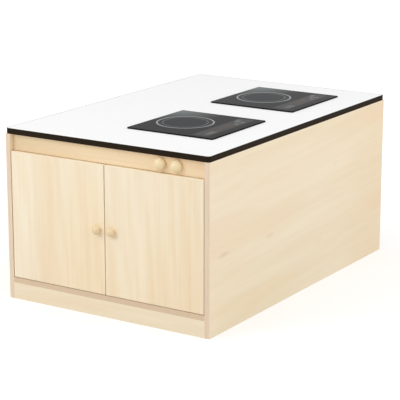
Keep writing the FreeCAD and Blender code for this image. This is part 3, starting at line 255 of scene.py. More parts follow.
def makeTooth():
    # the fine uneven skin of moulded, pressed or laminated surfaces
    group, start, end = newGroup("fineTooth", {
        "Vector": "vector", "Size": "value", "Base": "color", "Spread": "value", "Roughness": "value",
    }, skinOutputs)
    scaled = put(group, "ShaderNodeVectorMath", operation="SCALE")
    wire(group, start["Vector"], scaled.inputs[0])
    wire(group, calc(group, "DIVIDE", 1.0, start["Size"]), scaled.inputs["Scale"])
    fine = stretchedNoise(group, scaled.outputs[0], *toothSkin["fine"])
    broad = stretchedNoise(group, start["Vector"], *toothSkin["broad"])
    tone = shared(group, fine, toothSkin["fineShare"], broad, toothSkin["broadShare"])
    wire(group, tinted(group, start["Base"], tone, start["Spread"]), end["Color"])
    wire(group, fine, end["Height"])
    rough = calc(group, "ADD", about(group, fine, toothSkin["roughGain"]), start["Roughness"], clamp=True)
    wire(group, rough, end["Roughness"])
    return group


def makeBrushing():
    # fine parallel scratches along the X of its vector, over slow clouding
    group, start, end = newGroup("brushing", {
        "Vector": "vector", "Base": "color", "Spread": "value", "Roughness": "value",
    }, skinOutputs)
    scratches = stretchedNoise(group, start["Vector"], *scratchSkin["scratches"])
    clouds = stretchedNoise(group, start["Vector"], *scratchSkin["clouds"])
    tone = shared(group, scratches, scratchSkin["scratchShare"], clouds, scratchSkin["cloudShare"])
    wire(group, tinted(group, start["Base"], tone, start["Spread"]), end["Color"])
    wire(group, scratches, end["Height"])
    wire(group, gained(group, clouds, scratchSkin["roughGain"], start["Roughness"]), end["Roughness"])
    return group


# The three prints lie round the origin of their vector and are seen along Z

def makeRingPrint():
    # full up to half way from the middle of the line to its edge, and gone as far again past the edge
    group, start, end = newGroup(
        "ringPrint", {"Vector": "vector", "Radius": "value", "Line": "value"}, {"Mask": "value"})
    length = lengthOf(group, weighted(group, start["Vector"], (1.0, 1.0, 0.0)))
    away = calc(group, "ABSOLUTE", calc(group, "SUBTRACT", length, start["Radius"]))
    away = calc(group, "DIVIDE", away, calc(group, "MULTIPLY", start["Line"], 0.5))
    wire(group, calc(group, "SUBTRACT", 1.5, away, clamp=True), end["Mask"])
    return group


def makeDiscPrint():
    group, start, end = newGroup(
        "discPrint", {"Vector": "vector", "Radius": "value", "Fade": "value"}, {"Mask": "value"})
    length = lengthOf(group, weighted(group, start["Vector"], (1.0, 1.0, 0.0)))
    within = calc(group, "SUBTRACT", start["Radius"], length)
    wire(group, calc(group, "DIVIDE", within, start["Fade"], clamp=True), end["Mask"])
    return group


def makeBarPrint():
    group, start, end = newGroup("barPrint", {
        "Vector": "vector", "Length": "value", "Width": "value", "Fade": "value",
    }, {"Mask": "value"})
    parts = put(group, "ShaderNodeSeparateXYZ")
    wire(group, start["Vector"], parts.inputs[0])
    masks = []
    for axis, side in (("X", "Length"), ("Y", "Width")):
        away = calc(group, "ABSOLUTE", parts.outputs[axis])
        inside = calc(group, "SUBTRACT", calc(group, "MULTIPLY", start[side], 0.5), away)
        masks.append(calc(group, "DIVIDE", inside, start["Fade"], clamp=True))
    wire(group, calc(group, "MULTIPLY", masks[0], masks[1]), end["Mask"])
    return group


grain = makeGrain()
knot = makeKnot()
tooth = makeTooth()
brushing = makeBrushing()
ringPrint = makeRingPrint()
discPrint = makeDiscPrint()
barPrint = makeBarPrint()
print("shared effects made")


# Boards

maple = {
    "pale": srgb(254, 243, 219),
    "deep": srgb(242, 217, 177),
    "blush": srgb(247, 219, 187),
    # these three tones are painted shade, which the shade patches multiply into the wood
    "warmShade": srgb(252, 244, 232),
    "dull": srgb(242, 241, 240),
    "oliveShade": srgb(245, 246, 236),
    "knot": srgb(176, 132, 88),
    "knotStretch": (0.0, 0.28, 1.0),
    "contrast": 0.55,
    "bump": (0.08, 0.0002),
}
grainTurns = {
    "upright": (0, 0, 0),
    "across": (0, math.pi / 2, 0),
    "deepways": (math.pi / 2, 0, 0),
}
# grain: its direction, shift and contrast; a patch of painted shade: its tone, centre, reach and strength;
# a knot: its centre, size and strength
boards = {
    "leftDoorMaple": {
        "nodes": ("left_door",),
        "grain": ("upright", (0.31, 0.0, 0.2), 1.0),
        # painted shade: the lower part of the door darker and warmer, most towards the middle gap
        "shadePatches": [("warmShade", (-0.04, -0.58, 0.14), (0.22, 5.0, 0.50), 1.3)],
    },
    "rightDoorMaple": {
        "nodes": ("right_door",),
        "grain": ("upright", (1.74, 0.0, 0.9), 1.0),
        # painted shade: the lower part of the door darker and warmer
        "shadePatches": [("warmShade", (0.19, -0.58, 0.02), (0.5, 5.0, 0.42), 0.7)],
    },
    "fasciaMaple": {
        "nodes": ("fascia_board", "worktop_rail", "centre_bearer"),
        "grain": ("across", (0.2, 0.0, 0.6), 1.0),
        # painted shade: the tint makes the whole fascia darker and warmer, as it lies in shade under the
        # worktop, and the dull patch darkens its left end beside the side panel
        "tint": srgb(248, 237, 220),
        "shadePatches": [("dull", (-0.38, -0.58, 0.543), (0.30, 5.0, 5.0), 1.0)],
    },
    "plinthMaple": {
        "nodes": ("front_plinth",),
        "grain": ("across", (0.9, 0.3, 0.1), 0.8),
        "tint": srgb(252, 252, 252),
    },
    "sidePanelMaple": {
        "nodes": ("left_side_panel", "right_side_panel"),
        "grain": ("deepways", (0.5, 0.2, 0.1), 0.62),
        "tint": srgb(251, 250, 248),
        "shadePatches": [
            # painted shade: the panel darker low at the front and towards the back
            ("oliveShade", (0.0, -0.28, 0.04), (5.0, 0.60, 0.34), 0.4),
            ("warmShade", (0.0, 0.56, 0.32), (5.0, 0.40, 0.60), 0.7),
        ],
        "knots": [
            ((0.4, -0.505, 0.257), 0.012, 0.26),
            ((0.4, -0.216, 0.250), 0.010, 0.17),
            ((0.4, 0.122, 0.150), 0.010, 0.08),
            ((0.4, 0.237, 0.407), 0.010, 0.09),
        ],
    },
    "innerMaple": {
        "nodes": ("bottom_board", "guard_board", "adjustable_shelf"),
        "grain": ("deepways", (1.2, 0.7, 0.4), 0.9),
    },
    "backMaple": {
        "nodes": ("back_panel",),
        "grain": ("upright", (2.6, 0.1, 1.3), 0.9),
    },
    "doorBandMaple": {
        "nodes": ("left_door_edging", "right_door_edging"),
        "grain": ("upright", (0.9, 0.4, 0.6), 0.5),
    },
    "beechDowel": {
        "nodes": ("carcass_dowels",),
        "grain": ("across", (3.1, 0.4, 0.2), 1.0),
        "tint": srgb(247, 234, 214),
    },
}


def makeMaple(name, board):
    material, tree, shader, place = newMaterial(name, Coat_Weight=0.12, Coat_Roughness=0.3)
    direction, shift, contrast = board["grain"]
    wood = placeGroup(
        tree, grain, Pale=maple["pale"], Deep=maple["deep"], Blush=maple["blush"],
        Contrast=maple["contrast"] * contrast,
        Vector=mapped(tree, place, Rotation=grainTurns[direction], Location=shift))
    color = wood["Color"]
    if "tint" in board:
        color = blendColors(tree, 1.0, color, board["tint"], "MULTIPLY")
    for tone, centre, reach, strength in board.get("shadePatches", ()):
        # a long patch of painted shade that fades out at its reach
        spot = mapped(tree, place, Scale=tuple(1 / r for r in reach),
                      Location=tuple(-c / r for c, r in zip(centre, reach)))
        mask = calc(tree, "SUBTRACT", 1.0, lengthOf(tree, spot), clamp=True)
        color = blendColors(tree, calc(tree, "MULTIPLY", mask, strength), color, maple[tone], "MULTIPLY")
    for centre, size, strength in board.get("knots", ()):
        spot = mapped(tree, place, Location=tuple(-c for c in centre))
        eye = placeGroup(tree, knot, Size=size, Vector=weighted(tree, spot, maple["knotStretch"]))
        color = blendColors(tree, calc(tree, "MULTIPLY", eye["Mask"], strength), color, maple["knot"])
    finishSurface(tree, shader, color, wood["Roughness"], wood["Height"], maple["bump"])
    return material


for name, board in boards.items():
    dress(makeMaple(name, board), *board["nodes"])


# Turned knobs, with rings of growth round a heart below the lathe axis, which runs along Y

turnedWood = {
    "doorTones": (srgb(244, 224, 184), srgb(222, 193, 144)),
    "controlTones": (srgb(251, 233, 192), srgb(232, 203, 152)),
    "heartDrop": 0.02,
    "endStretch": 0.12,
    "ringScale": 95.0,
    "ringBend": 2.2,
    "ringShare": 0.45,
    "pores": ((1500, 300, 1500), 2.0),
    "poreShare": 0.4,
    "rough": (0.15, 0.3),
    "bump": (0.1, 0.0001),
}


def makeTurnedWood(name, centre, pale, deep):
    material, tree, shader, place = newMaterial(name, Coat_Weight=0.35, Coat_Roughness=0.2)
    rings = put(tree, "ShaderNodeTexWave", {
        "Scale": turnedWood["ringScale"], "Distortion": turnedWood["ringBend"],
        "Detail": 2.0, "Detail Scale": 3.0,
    }, wave_type="RINGS", rings_direction="Y")
    turned = mapped(tree, place, Location=(-centre.x, 0, turnedWood["heartDrop"] - centre.z),
                    Scale=(1, turnedWood["endStretch"], 1))
    wire(tree, turned, rings.inputs["Vector"])
    pores = stretchedNoise(tree, place, *turnedWood["pores"])
    figure = shared(tree, rings.outputs["Fac"], turnedWood["ringShare"], pores, turnedWood["poreShare"], True)
    rough = gained(tree, pores, *turnedWood["rough"])
    finishSurface(tree, shader, blendColors(tree, figure, pale, deep), rough, pores, turnedWood["bump"])
    return material


for name in ("left_door_knob", "right_door_knob", "left_control_knob", "right_control_knob"):
    low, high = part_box(name)
    pale, deep = turnedWood["doorTones" if "door" in name else "controlTones"]
    dress(makeTurnedWood(name.replace("_", "") + "Wood", (low + high) / 2, pale, deep), name)
print("wood finished")


# Edge bands, laminate and plastics

edgeBand = {
    "base": srgb(236, 214, 188),
    "streak": srgb(222, 193, 164),
    # the painted shade on the strip under the doors: its tone and how strongly it is laid on
    "strip": srgb(218, 192, 161),
    "stripShare": 0.8,
    "stripReach": 0.3819,  # the strip under the doors ends just short of the panels' own bands
    "spread": 0.12,
    "tooth": 0.0016,
    "streaks": ((420, 420, 5), 2.0),
    "streakFrom": 0.42,
    "streakGain": 1.6,
    "roughness": 0.42,
    "bump": (0.08, 0.0002),
}


def makeEdgeBand(name):
    # fine streaks along the panels' bands; the strip between the panels is darkened with painted shade
    material, tree, shader, place = newMaterial(name)
    fine = placeGroup(tree, tooth, Size=edgeBand["tooth"], Base=edgeBand["base"], Spread=edgeBand["spread"],
                      Roughness=edgeBand["roughness"], Vector=place)
    upright = stretchedNoise(tree, place, *edgeBand["streaks"])
    mask = about(tree, upright, edgeBand["streakGain"], edgeBand["streakFrom"], clamp=True)
    color = blendColors(tree, mask, fine["Color"], edgeBand["streak"])
    parts = put(tree, "ShaderNodeSeparateXYZ")
    wire(tree, place, parts.inputs[0])
    # painted shade: the strip under the doors, between the side panels, is made darker, as the doors shade it
    between = calc(tree, "LESS_THAN", calc(tree, "ABSOLUTE", parts.outputs["X"]), edgeBand["stripReach"])
    between = calc(tree, "MULTIPLY", between, edgeBand["stripShare"])
    color = blendColors(tree, between, color, edgeBand["strip"])
    finishSurface(tree, shader, color, fine["Roughness"], fine["Height"], edgeBand["bump"])
    return material


def makeMoulded(name, base, roughness=0.5, spread=0.25, size=0.0012, strength=0.15, **sockets):
    material, tree, shader, place = newMaterial(name, **sockets)
    fine = placeGroup(tree, tooth, Size=size, Base=base, Spread=spread, Roughness=roughness, Vector=place)
    finishSurface(tree, shader, fine["Color"], fine["Roughness"], fine["Height"], (strength, 0.0002))
    return material


panelBand = makeEdgeBand("panelBand")
worktopBand = makeMoulded("worktopBand", srgb(40, 31, 21), roughness=0.65, spread=0.3, size=0.002,
                          strength=0.12, Specular_IOR_Level=0.06)
whiteLaminate = makeMoulded("whiteLaminate", srgb(248, 248, 248), roughness=0.75, spread=0.015, size=0.0011,
                            strength=0.06, Specular_IOR_Level=0.1)
blackPlastic = makeMoulded("blackPlastic", srgb(34, 34, 36), spread=0.3)
greyPlastic = makeMoulded("greyPlastic", srgb(58, 60, 63), roughness=0.45)
whitePlastic = makeMoulded("whitePlastic", srgb(228, 228, 224), roughness=0.45, spread=0.05)
foamTape = makeMoulded("foamTape", srgb(26, 26, 27), roughness=0.85, spread=0.5, size=0.0008, strength=0.5)
dress(panelBand, "carcass_edging")
dress(worktopBand, "worktop_edging")
dress(whiteLaminate, "worktop_board")
dress(blackPlastic, "cable_grommet", "left_rotary_switch", "right_rotary_switch")
dress(whitePlastic, "door_catches", "front_hob_touch_module", "rear_hob_touch_module")
dress(foamTape, "hob_seals")
print("bands, laminate and plastics finished")


# Metals

brushedNickel = {
    "tone": srgb(206, 205, 202),
    "spread": 0.2,
    "roughness": 0.2,
    "bump": (0.05, 0.0001),
}
zincCoat = {
    "deep": srgb(172, 176, 180),
    "pale": srgb(205, 208, 211),
    "crystals": 160.0,
    "rough": (0.2, 0.3),
    "bump": (0.05, 0.0001),
}


def makeNickel(name, turn=(0, 0, 0)):
    material, tree, shader, place = newMaterial(name, Metallic=1.0)
    lines = placeGroup(
        tree, brushing, Base=brushedNickel["tone"], Spread=brushedNickel["spread"],
        Roughness=brushedNickel["roughness"], Vector=mapped(tree, place, Rotation=turn))
    finishSurface(tree, shader, lines["Color"], lines["Roughness"], lines["Height"], brushedNickel["bump"])
    return material


def makeZincSheet(name):
    # flat crystals of slightly different greys
    material, tree, shader, place = newMaterial(name, Metallic=1.0)
    cells = put(tree, "ShaderNodeTexVoronoi", {"Scale": zincCoat["crystals"]}, feature="F1")
    wire(tree, place, cells.inputs["Vector"])
    chance = put(tree, "ShaderNodeSeparateColor")  # three random numbers for each crystal
    wire(tree, cells.outputs["Color"], chance.inputs[0])
    color = blendColors(tree, chance.outputs[0], zincCoat["deep"], zincCoat["pale"])
    rough = gained(tree, chance.outputs[1], *zincCoat["rough"])
    finishSurface(tree, shader, color, rough, chance.outputs[2], zincCoat["bump"])
    return material


nickel = makeNickel("nickel")
nickelUpright = makeNickel("nickelUpright", (0, math.pi / 2, 0))
zincSheet = makeZincSheet("zincSheet")
dress(nickel, "hinge_plates", "fixing_screws", "left_strike_plate", "right_strike_plate", "left_knob_screw",
      "right_knob_screw", "switch_nuts", "left_control_spindle", "right_control_spindle", "shelf_pins")
dress(nickelUpright, "hinge_arms", "left_hinge_cups", "right_hinge_cups", "left_hinge_pins",
      "right_hinge_pins")
dress(zincSheet, "worktop_brackets", "hob_clamps", "front_hob_tray", "rear_hob_tray")
print("metals finished")


# Hob glass, with its printed zone and touch field, and a painted reflection on its rear left part

hobPrint = {
    "zoneRadius": 0.0960,
    "zoneLine": 0.0050,
    "innerRadius": 0.0765,
    "innerLine": 0.0022,
    # the painted reflection: its reach and fade from the rear left corner, and its fade at the zone
    "reflectionReach": 0.175,
    "reflectionFade": 0.150,
    "reflectionEdge": 0.01,
    "fieldInset": 0.062,
    "fieldWidth": 0.069,
    "fieldLength": 0.312,
    "fieldFade": 0.012,
    "displayAt": (0.011, -0.098),
    "displayLength": 0.054,
    "displayWidth": 0.026,
    "sliderLength": 0.090,
    "sliderWidth": 0.034,
    "sliderTicks": 9,
    "tickShare": 0.3,  # of the slider's width, and how much more each next tick takes
    "tickGrowth": 0.05,
    "keys": ((-0.018, 0.122), (-0.008, 0.098), (0.012, 0.098), (0.009, 0.066)),
    "keyRadius": 0.0080,
    "lineWidth": 0.0012,
    "softFade": 0.004,
    "sharpFade": 0.0003,
}
glass = {
    "deep": srgb(14, 13, 15),
    "pale": srgb(26, 25, 27),
    "clouds": ((9, 9, 9), 2.0),
    "speck": srgb(110, 112, 116),
    "specks": ((2600, 2600, 2600), 1.0),
    "speckFrom": 0.55,
    "speckGain": 0.6,
    "rough": (0.08, 0.06),
    "bump": (0.02, 0.001),
}
printAndReflectionTones = {  # how dense each print is, and its colour
    "disc": (0.5, srgb(36, 42, 46)),
    "paintedReflection": (0.95, srgb(112, 117, 117)),
    # the painted reflection on the glass, which is not a print
    "between": (0.2, srgb(71, 73, 74)),
    "outerRing": (1.0, srgb(166, 167, 168)),
    "innerRing": (0.6, srgb(150, 151, 153)),
    "field": (0.95, srgb(70, 68, 67)),
    "display": (0.85, srgb(102, 101, 98)),
    "slider": (0.7, srgb(72, 61, 54)),
    "tick": (0.9, srgb(140, 132, 126)),
    "key": (0.8, srgb(102, 102, 104)),
    "keyEdge": (0.9, srgb(160, 160, 162)),
    "keyStroke": (0.9, srgb(190, 190, 191)),
}


def makeHobGlass(name, glassName, coilName):
    material, tree, shader, place = newMaterial(name, IOR=1.045)
    low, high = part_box(glassName)
    coilLow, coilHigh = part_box(coilName)
    zone = (coilLow + coilHigh) / 2
    fieldX = high.x - hobPrint["fieldInset"]
    middleY = (low.y + high.y) / 2

    def at(x, y):
        return mapped(tree, place, Location=(-x, -y, 0))

    def ring(x, y, radius, line):
        return placeGroup(tree, ringPrint, Radius=radius, Line=line, Vector=at(x, y))["Mask"]

    def spot(x, y, radius, fade=hobPrint["sharpFade"]):
        return placeGroup(tree, discPrint, Radius=radius, Fade=fade, Vector=at(x, y))["Mask"]

    def bar(x, y, length, width, fade=hobPrint["sharpFade"]):
        return placeGroup(tree, barPrint, Length=length, Width=width, Fade=fade, Vector=at(x, y))["Mask"]

    clouds = stretchedNoise(tree, place, *glass["clouds"])
    specks = stretchedNoise(tree, place, *glass["specks"])
    specks = about(tree, specks, glass["speckGain"], glass["speckFrom"], clamp=True)
    base = blendColors(tree, clouds, glass["deep"], glass["pale"])
    base = blendColors(tree, specks, base, glass["speck"])
    disc = spot(zone.x, zone.y, hobPrint["innerRadius"], hobPrint["softFade"])
    outside = spot(zone.x, zone.y, hobPrint["zoneRadius"], hobPrint["reflectionEdge"])
    outside = calc(tree, "SUBTRACT", 1.0, outside)
    # painted reflection, pale at the rear left corner and fading towards the middle; it is kept off the zone
    paintedReflection = spot(low.x, high.y, hobPrint["reflectionReach"], hobPrint["reflectionFade"])  # from the rear left corner
    between = calc(tree, "SUBTRACT", spot(zone.x, zone.y, hobPrint["zoneRadius"]), disc, clamp=True)
    fieldSize = (hobPrint["fieldWidth"], hobPrint["fieldLength"], hobPrint["fieldFade"])
    displaySize = (hobPrint["displayWidth"], hobPrint["displayLength"], hobPrint["softFade"])
    sliderSize = (hobPrint["sliderWidth"], hobPrint["sliderLength"], hobPrint["softFade"])
    displayX, displayY = hobPrint["displayAt"]
    layers = [
        ("disc", disc),
        ("paintedReflection", calc(tree, "MULTIPLY", paintedReflection, outside)),
        ("between", between),
        ("outerRing", ring(zone.x, zone.y, hobPrint["zoneRadius"], hobPrint["zoneLine"])),
        ("innerRing", ring(zone.x, zone.y, hobPrint["innerRadius"], hobPrint["innerLine"])),
        ("field", bar(fieldX, middleY, *fieldSize)),
        ("display", bar(fieldX + displayX, middleY + displayY, *displaySize)),
        ("slider", bar(fieldX, middleY, *sliderSize)),
    ]
    spacing = hobPrint["sliderLength"] / hobPrint["sliderTicks"]
    for tick in range(hobPrint["sliderTicks"]):
        y = middleY + (tick - (hobPrint["sliderTicks"] - 1) / 2) * spacing
        length = hobPrint["sliderWidth"] * (hobPrint["tickShare"] + hobPrint["tickGrowth"] * tick)
        layers.append(("tick", bar(fieldX, y, length, hobPrint["lineWidth"])))
    for shiftX, shiftY in hobPrint["keys"]:
        x, y = fieldX + shiftX, middleY + shiftY
        layers.append(("key", spot(x, y, hobPrint["keyRadius"])))
        layers.append(("keyEdge", ring(x, y, hobPrint["keyRadius"], hobPrint["lineWidth"])))
        layers.append(("keyStroke", bar(x, y, hobPrint["lineWidth"], hobPrint["keyRadius"])))
    for layer, mask in layers:
        density, tone = printAndReflectionTones[layer]
        base = blendColors(tree, calc(tree, "MULTIPLY", mask, density), base, tone)
    finishSurface(tree, shader, base, gained(tree, clouds, *glass["rough"]), clouds, glass["bump"])
    return material


dress(makeHobGlass("frontHobGlass", "front_hob_glass", "front_hob_coil"), "front_hob_glass")
dress(makeHobGlass("rearHobGlass", "rear_hob_glass", "rear_hob_coil"), "rear_hob_glass")
print("hob glass finished")


# What the hobs hold inside

winding = {
    "ringScale": 63.0,
    "gap": srgb(96, 44, 24),
    "wire": srgb(196, 112, 66),
    "strand": srgb(140, 74, 40),
    "strands": ((900, 900, 900), 2.0),
    "strandShare": 0.3,
    "rough": (0.3, 0.25),
    "bump": (0.6, 0.002),
}
powerBoard = {
    "boardTop": 0.0067,  # above the underside
    "finsEnd": 0.01,  # behind the middle
    "lacquer": (srgb(26, 84, 52), srgb(44, 120, 78)),
    "tracks": 190.0,
    "aluminium": srgb(196, 198, 201),
    "capacitor": srgb(30, 31, 36),
    "bump": (0.05, 0.0001),
}


def makeWinding(name, coilName):
    # turns of enamelled wire round the middle of the coil
    material, tree, shader, place = newMaterial(name, Metallic=0.6)
    low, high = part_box(coilName)
    middle = (low + high) / 2
    turns = put(tree, "ShaderNodeTexWave", {"Scale": winding["ringScale"], "Distortion": 0.0},
                wave_type="RINGS", rings_direction="Z")
    wire(tree, mapped(tree, place, Location=(-middle.x, -middle.y, 0)), turns.inputs["Vector"])
    strands = stretchedNoise(tree, place, *winding["strands"])
    dull = calc(tree, "MULTIPLY", strands, winding["strandShare"])
    color = blendColors(tree, turns.outputs["Fac"], winding["gap"], winding["wire"])
    color = blendColors(tree, dull, color, winding["strand"])
    rough = gained(tree, strands, *winding["rough"])
    finishSurface(tree, shader, color, rough, turns.outputs["Fac"], winding["bump"])
    return material


def makePowerBoard(name, boardName):
    # green board below, bare aluminium fins, black capacitors at the rear end
    material, tree, shader, place = newMaterial(name)
    low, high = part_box(boardName)
    parts = put(tree, "ShaderNodeSeparateXYZ")
    wire(tree, place, parts.inputs[0])
    above = calc(tree, "GREATER_THAN", parts.outputs["Z"], low.z + powerBoard["boardTop"])
    behind = calc(tree, "GREATER_THAN", parts.outputs["Y"], (low.y + high.y) / 2 + powerBoard["finsEnd"])
    tracks = put(tree, "ShaderNodeTexVoronoi", {"Scale": powerBoard["tracks"]}, distance="MANHATTAN")
    wire(tree, place, tracks.inputs["Vector"])
    board = blendColors(tree, tracks.outputs["Distance"], *powerBoard["lacquer"])
    lines = placeGroup(tree, brushing, Base=powerBoard["aluminium"], Spread=0.25, Roughness=0.3, Vector=place)
    fins = blendColors(tree, behind, lines["Color"], powerBoard["capacitor"])
    metal = calc(tree, "MULTIPLY", above, calc(tree, "SUBTRACT", 1.0, behind))
    wire(tree, metal, shader.inputs["Metallic"])
    finishSurface(tree, shader, blendColors(tree, above, board, fins), lines["Roughness"], lines["Height"],
                  powerBoard["bump"])
    return material


for hob in ("front", "rear"):
    dress(makeWinding(hob + "Winding", hob + "_hob_coil"), hob + "_hob_coil")
    dress(makePowerBoard(hob + "PowerBoard", hob + "_hob_power_board"), hob + "_hob_power_board")
    dress(blackPlastic, hob + "_hob_fan_frame")
    dress(greyPlastic, hob + "_hob_fan_impeller", hob + "_hob_coil_carrier")
print("inner pieces finished")


# Brush inlay of the cable outlet: two combs of bristles whose tips cross, in a thin ring

brush = {
    "ringRadius": 0.0194,
    "ringDepth": 0.0105,
    "ringWall": 0.0010,
    "ringEdge": 0.0002,
    "facets": 64,
    "smoothAngle": math.radians(40),
    "trimRadius": 0.0191,
    "trimDepth": 0.04,
    "bristle": 0.0008,
    "pitch": 0.0012,
    "perRow": 34,
    "rows": 3,
    "rowGap": 0.0015,
    "length": 0.0200,
    "crossing": 0.0012,
    "tip": 0.35,
    "tones": (srgb(18, 18, 20), srgb(62, 61, 62)),
    "strands": ((1400, 1400, 40), 2.0),
    "rough": (0.25, 0.3),
    "bump": (0.2, 0.0001),
}


def makeBristleNylon(name):
    material, tree, shader, place = newMaterial(name, Specular_IOR_Level=0.4)
    strands = stretchedNoise(tree, place, *brush["strands"])
    color = blendColors(tree, strands, *brush["tones"])
    finishSurface(tree, shader, color, gained(tree, strands, *brush["rough"]), strands, brush["bump"])
    return material


def applyModifiers(piece):
    bpy.context.view_layer.objects.active = piece
    for modifier in list(piece.modifiers):
        bpy.ops.object.modifier_apply(modifier=modifier.name)


def addArray(piece, name, count, step):
    array = piece.modifiers.new(name, "ARRAY")
    array.count = count
    array.use_relative_offset = False
    array.use_constant_offset = True
    array.constant_offset_displace = step


def makeBrushRing(name, middle):
    bpy.ops.object.select_all(action="DESELECT")
    bpy.ops.mesh.primitive_circle_add(
        vertices=brush["facets"], radius=brush["ringRadius"], rotation=(math.pi / 2, 0, 0),
        location=(middle.x, middle.y - brush["ringDepth"] / 2, middle.z))
    ring = bpy.context.object
    ring.name = name
    bpy.ops.object.transform_apply(location=True, rotation=True, scale=True)
    bpy.ops.object.mode_set(mode="EDIT")
    bpy.ops.mesh.select_all(action="SELECT")
    bpy.ops.mesh.extrude_edges_move(TRANSFORM_OT_translate={"value": (0, brush["ringDepth"], 0)})
    bpy.ops.mesh.select_all(action="SELECT")
    bpy.ops.mesh.normals_make_consistent(inside=False)
    bpy.ops.object.mode_set(mode="OBJECT")
    wall = ring.modifiers.new("wall", "SOLIDIFY")
    wall.thickness = brush["ringWall"]
    wall.offset = 0
    edges = ring.modifiers.new("edges", "BEVEL")
    edges.width = brush["ringEdge"]
    edges.segments = 2
    edges.limit_method = "ANGLE"
    applyModifiers(ring)
    bpy.ops.object.shade_smooth_by_angle(angle=brush["smoothAngle"])
    return ring


def makeComb(name, side, middle, firstY):
    # one tapered bristle, set out across and behind, then trimmed to the bore; side is 1 above and -1 below
    firstX = middle.x - brush["perRow"] * brush["pitch"] / 2
    tipZ = middle.z - side * brush["crossing"] / 2
    bpy.ops.object.select_all(action="DESELECT")
    bpy.ops.mesh.primitive_cube_add(
        size=1.0, scale=(brush["bristle"], brush["bristle"], brush["length"]),
        location=(firstX, firstY, tipZ + side * brush["length"] / 2))
    comb = bpy.context.object
    comb.name = name
    bpy.ops.object.transform_apply(location=True, rotation=True, scale=True)
    bpy.ops.object.mode_set(mode="EDIT")
    bpy.ops.mesh.select_mode(type="FACE")
    bpy.ops.mesh.select_all(action="DESELECT")
    bpy.ops.object.mode_set(mode="OBJECT")
    for face in comb.data.polygons:
        face.select = face.normal.z * side < -0.9  # the tip, which points to the middle
    bpy.ops.object.mode_set(mode="EDIT")
    bpy.ops.transform.resize(value=(brush["tip"], brush["tip"], 1.0), center_override=(firstX, firstY, tipZ))
    bpy.ops.object.mode_set(mode="OBJECT")
    addArray(comb, "across", brush["perRow"], (brush["pitch"], 0, 0))
    addArray(comb, "behind", brush["rows"], (brush["pitch"] / brush["rows"], 2 * brush["rowGap"], 0))
    applyModifiers(comb)
    bpy.ops.mesh.primitive_cylinder_add(
        vertices=brush["facets"], radius=brush["trimRadius"], depth=brush["trimDepth"], location=middle,
        rotation=(math.pi / 2, 0, 0))
    bore = bpy.context.object
    trim = comb.modifiers.new("trim", "BOOLEAN")
    trim.operation = "INTERSECT"
    trim.solver = "EXACT"
    trim.object = bore
    applyModifiers(comb)
    bpy.data.objects.remove(bore, do_unlink=True)
    return comb


bristleNylon = makeBristleNylon("bristleNylon")
boreLow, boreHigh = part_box("cable_grommet")
boreMiddle = (boreLow + boreHigh) / 2
firstRow = boreMiddle.y - brush["rowGap"] * (brush["rows"] - 0.5)
brushPieces = [
    (makeBrushRing("grommet_brush_ring", boreMiddle), blackPlastic),
    (makeComb("grommet_brush_upper", 1, boreMiddle, firstRow), bristleNylon),
    (makeComb("grommet_brush_lower", -1, boreMiddle, firstRow + brush["rowGap"]), bristleNylon),
]
for piece, finish in brushPieces:
    piece.data.materials.append(finish)
    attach(piece, "cabinet")
    print(piece.name, "has", len(piece.data.polygons), "faces")
print("cable outlet finished")


# Floor, background and light

studio = {
    "floorSize": 30.0,
    "floorColor": (0.68, 0.68, 0.68, 1.0),
    "white": (1, 1, 1, 1),
    "nearGlow": 0.40,  # makes the floor white to the camera, and less so near the cabinet, for its shadow
    "farGlow": 0.57,
    "nearReach": 0.8,
    "farReach": 2.1,
    "ambient": 0.68,
}
lamps = {
    "keyLamp": {"place": (-2.6, -4.2, 3.4), "target": (0, -0.3, 0.3), "size": 2.6, "power": 100.0},
    "sideLamp": {"place": (5.2, -1.2, 2.4), "target": (0.4, 0, 0.3), "size": 3.2, "power": 63.0},
    "backLamp": {"place": (3.4, 4.8, 2.8), "target": (0.1, 0.5, 0.3), "size": 2.4, "power": 40.0},
    "topLamp": {"place": (0.4, 0.6, 4.2), "target": (0, 0, 0.5), "size": 4.0, "power": 15.0},
}


def seenDirectly(tree):
    # 1 for rays that the camera, a mirror or glass sees, 0 for those that light the object
    rays = put(tree, "ShaderNodeLightPath").outputs
    reflected = calc(tree, "MAXIMUM", rays["Is Glossy Ray"], rays["Is Transmission Ray"])
    return calc(tree, "MAXIMUM", rays["Is Camera Ray"], reflected)


def aim(holder, place, direction):
    holder.location = place
    holder.rotation_euler = direction.to_track_quat("-Z", "Y").to_euler()
    bpy.context.scene.collection.objects.link(holder)


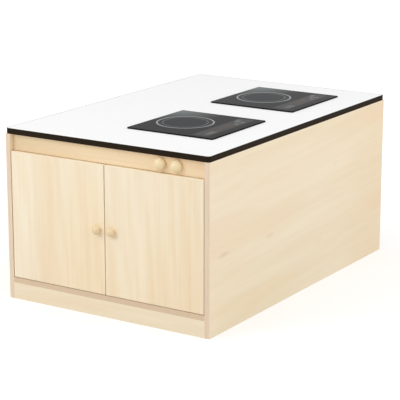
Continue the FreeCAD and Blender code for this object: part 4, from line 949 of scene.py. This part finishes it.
def makeFloor():
    bpy.ops.object.select_all(action="DESELECT")
    bpy.ops.mesh.primitive_plane_add(size=studio["floorSize"], location=(0, 0, 0))
    floor = bpy.context.object
    floor.name = "studioFloor"
    material = bpy.data.materials.new("studioFloorPaint")
    material.use_nodes = True
    tree = material.node_tree
    tree.nodes.clear()
    paint = put(tree, "ShaderNodeBsdfDiffuse", {"Color": studio["floorColor"]})
    glow = put(tree, "ShaderNodeEmission", {"Color": studio["white"]})
    away = lengthOf(tree, put(tree, "ShaderNodeTexCoord").outputs["Object"])
    reach = studio["farReach"] - studio["nearReach"]
    far = calc(tree, "DIVIDE", calc(tree, "SUBTRACT", away, studio["nearReach"]), reach, clamp=True)
    strength = gained(tree, far, studio["farGlow"] - studio["nearGlow"], studio["nearGlow"])
    wire(tree, calc(tree, "MULTIPLY", seenDirectly(tree), strength), glow.inputs["Strength"])
    both = put(tree, "ShaderNodeAddShader")
    wire(tree, paint.outputs[0], both.inputs[0])
    wire(tree, glow.outputs[0], both.inputs[1])
    wire(tree, both.outputs[0], put(tree, "ShaderNodeOutputMaterial").inputs["Surface"])
    floor.data.materials.append(material)


def makeWorld():
    world = bpy.data.worlds.new("studioWorld")
    bpy.context.scene.world = world
    world.use_nodes = True
    tree = world.node_tree
    light = tree.nodes["Background"]
    light.inputs["Color"].default_value = studio["white"]
    strength = gained(tree, seenDirectly(tree), 1.0 - studio["ambient"], studio["ambient"])
    wire(tree, strength, light.inputs["Strength"])


def makeLamp(name, lamp):
    light = bpy.data.lights.new(name, "AREA")
    light.size = lamp["size"]
    light.energy = lamp["power"]
    aim(bpy.data.objects.new(name, light), lamp["place"], Vector(lamp["target"]) - Vector(lamp["place"]))


makeFloor()
makeWorld()
for name, lamp in lamps.items():
    makeLamp(name, lamp)
print("floor and light placed")


# Camera

camera = {
    "place": (2.9563, -4.6518, 1.7042),
    "turn": math.radians(-32.524),
    "tilt": math.radians(-14.598),
    "lens": 145.0,
    "sensor": 36.0,
}


def makeCamera():
    view = bpy.data.cameras.new("photoCamera")
    view.sensor_width = camera["sensor"]
    view.lens = camera["lens"]
    holder = bpy.data.objects.new("photoCamera", view)
    level = math.cos(camera["tilt"])
    aim(holder, camera["place"], Vector((
        math.sin(camera["turn"]) * level, math.cos(camera["turn"]) * level, math.sin(camera["tilt"]))))
    bpy.context.scene.camera = holder


makeCamera()
bpy.context.scene.view_settings.view_transform = "Standard"
print("camera placed")
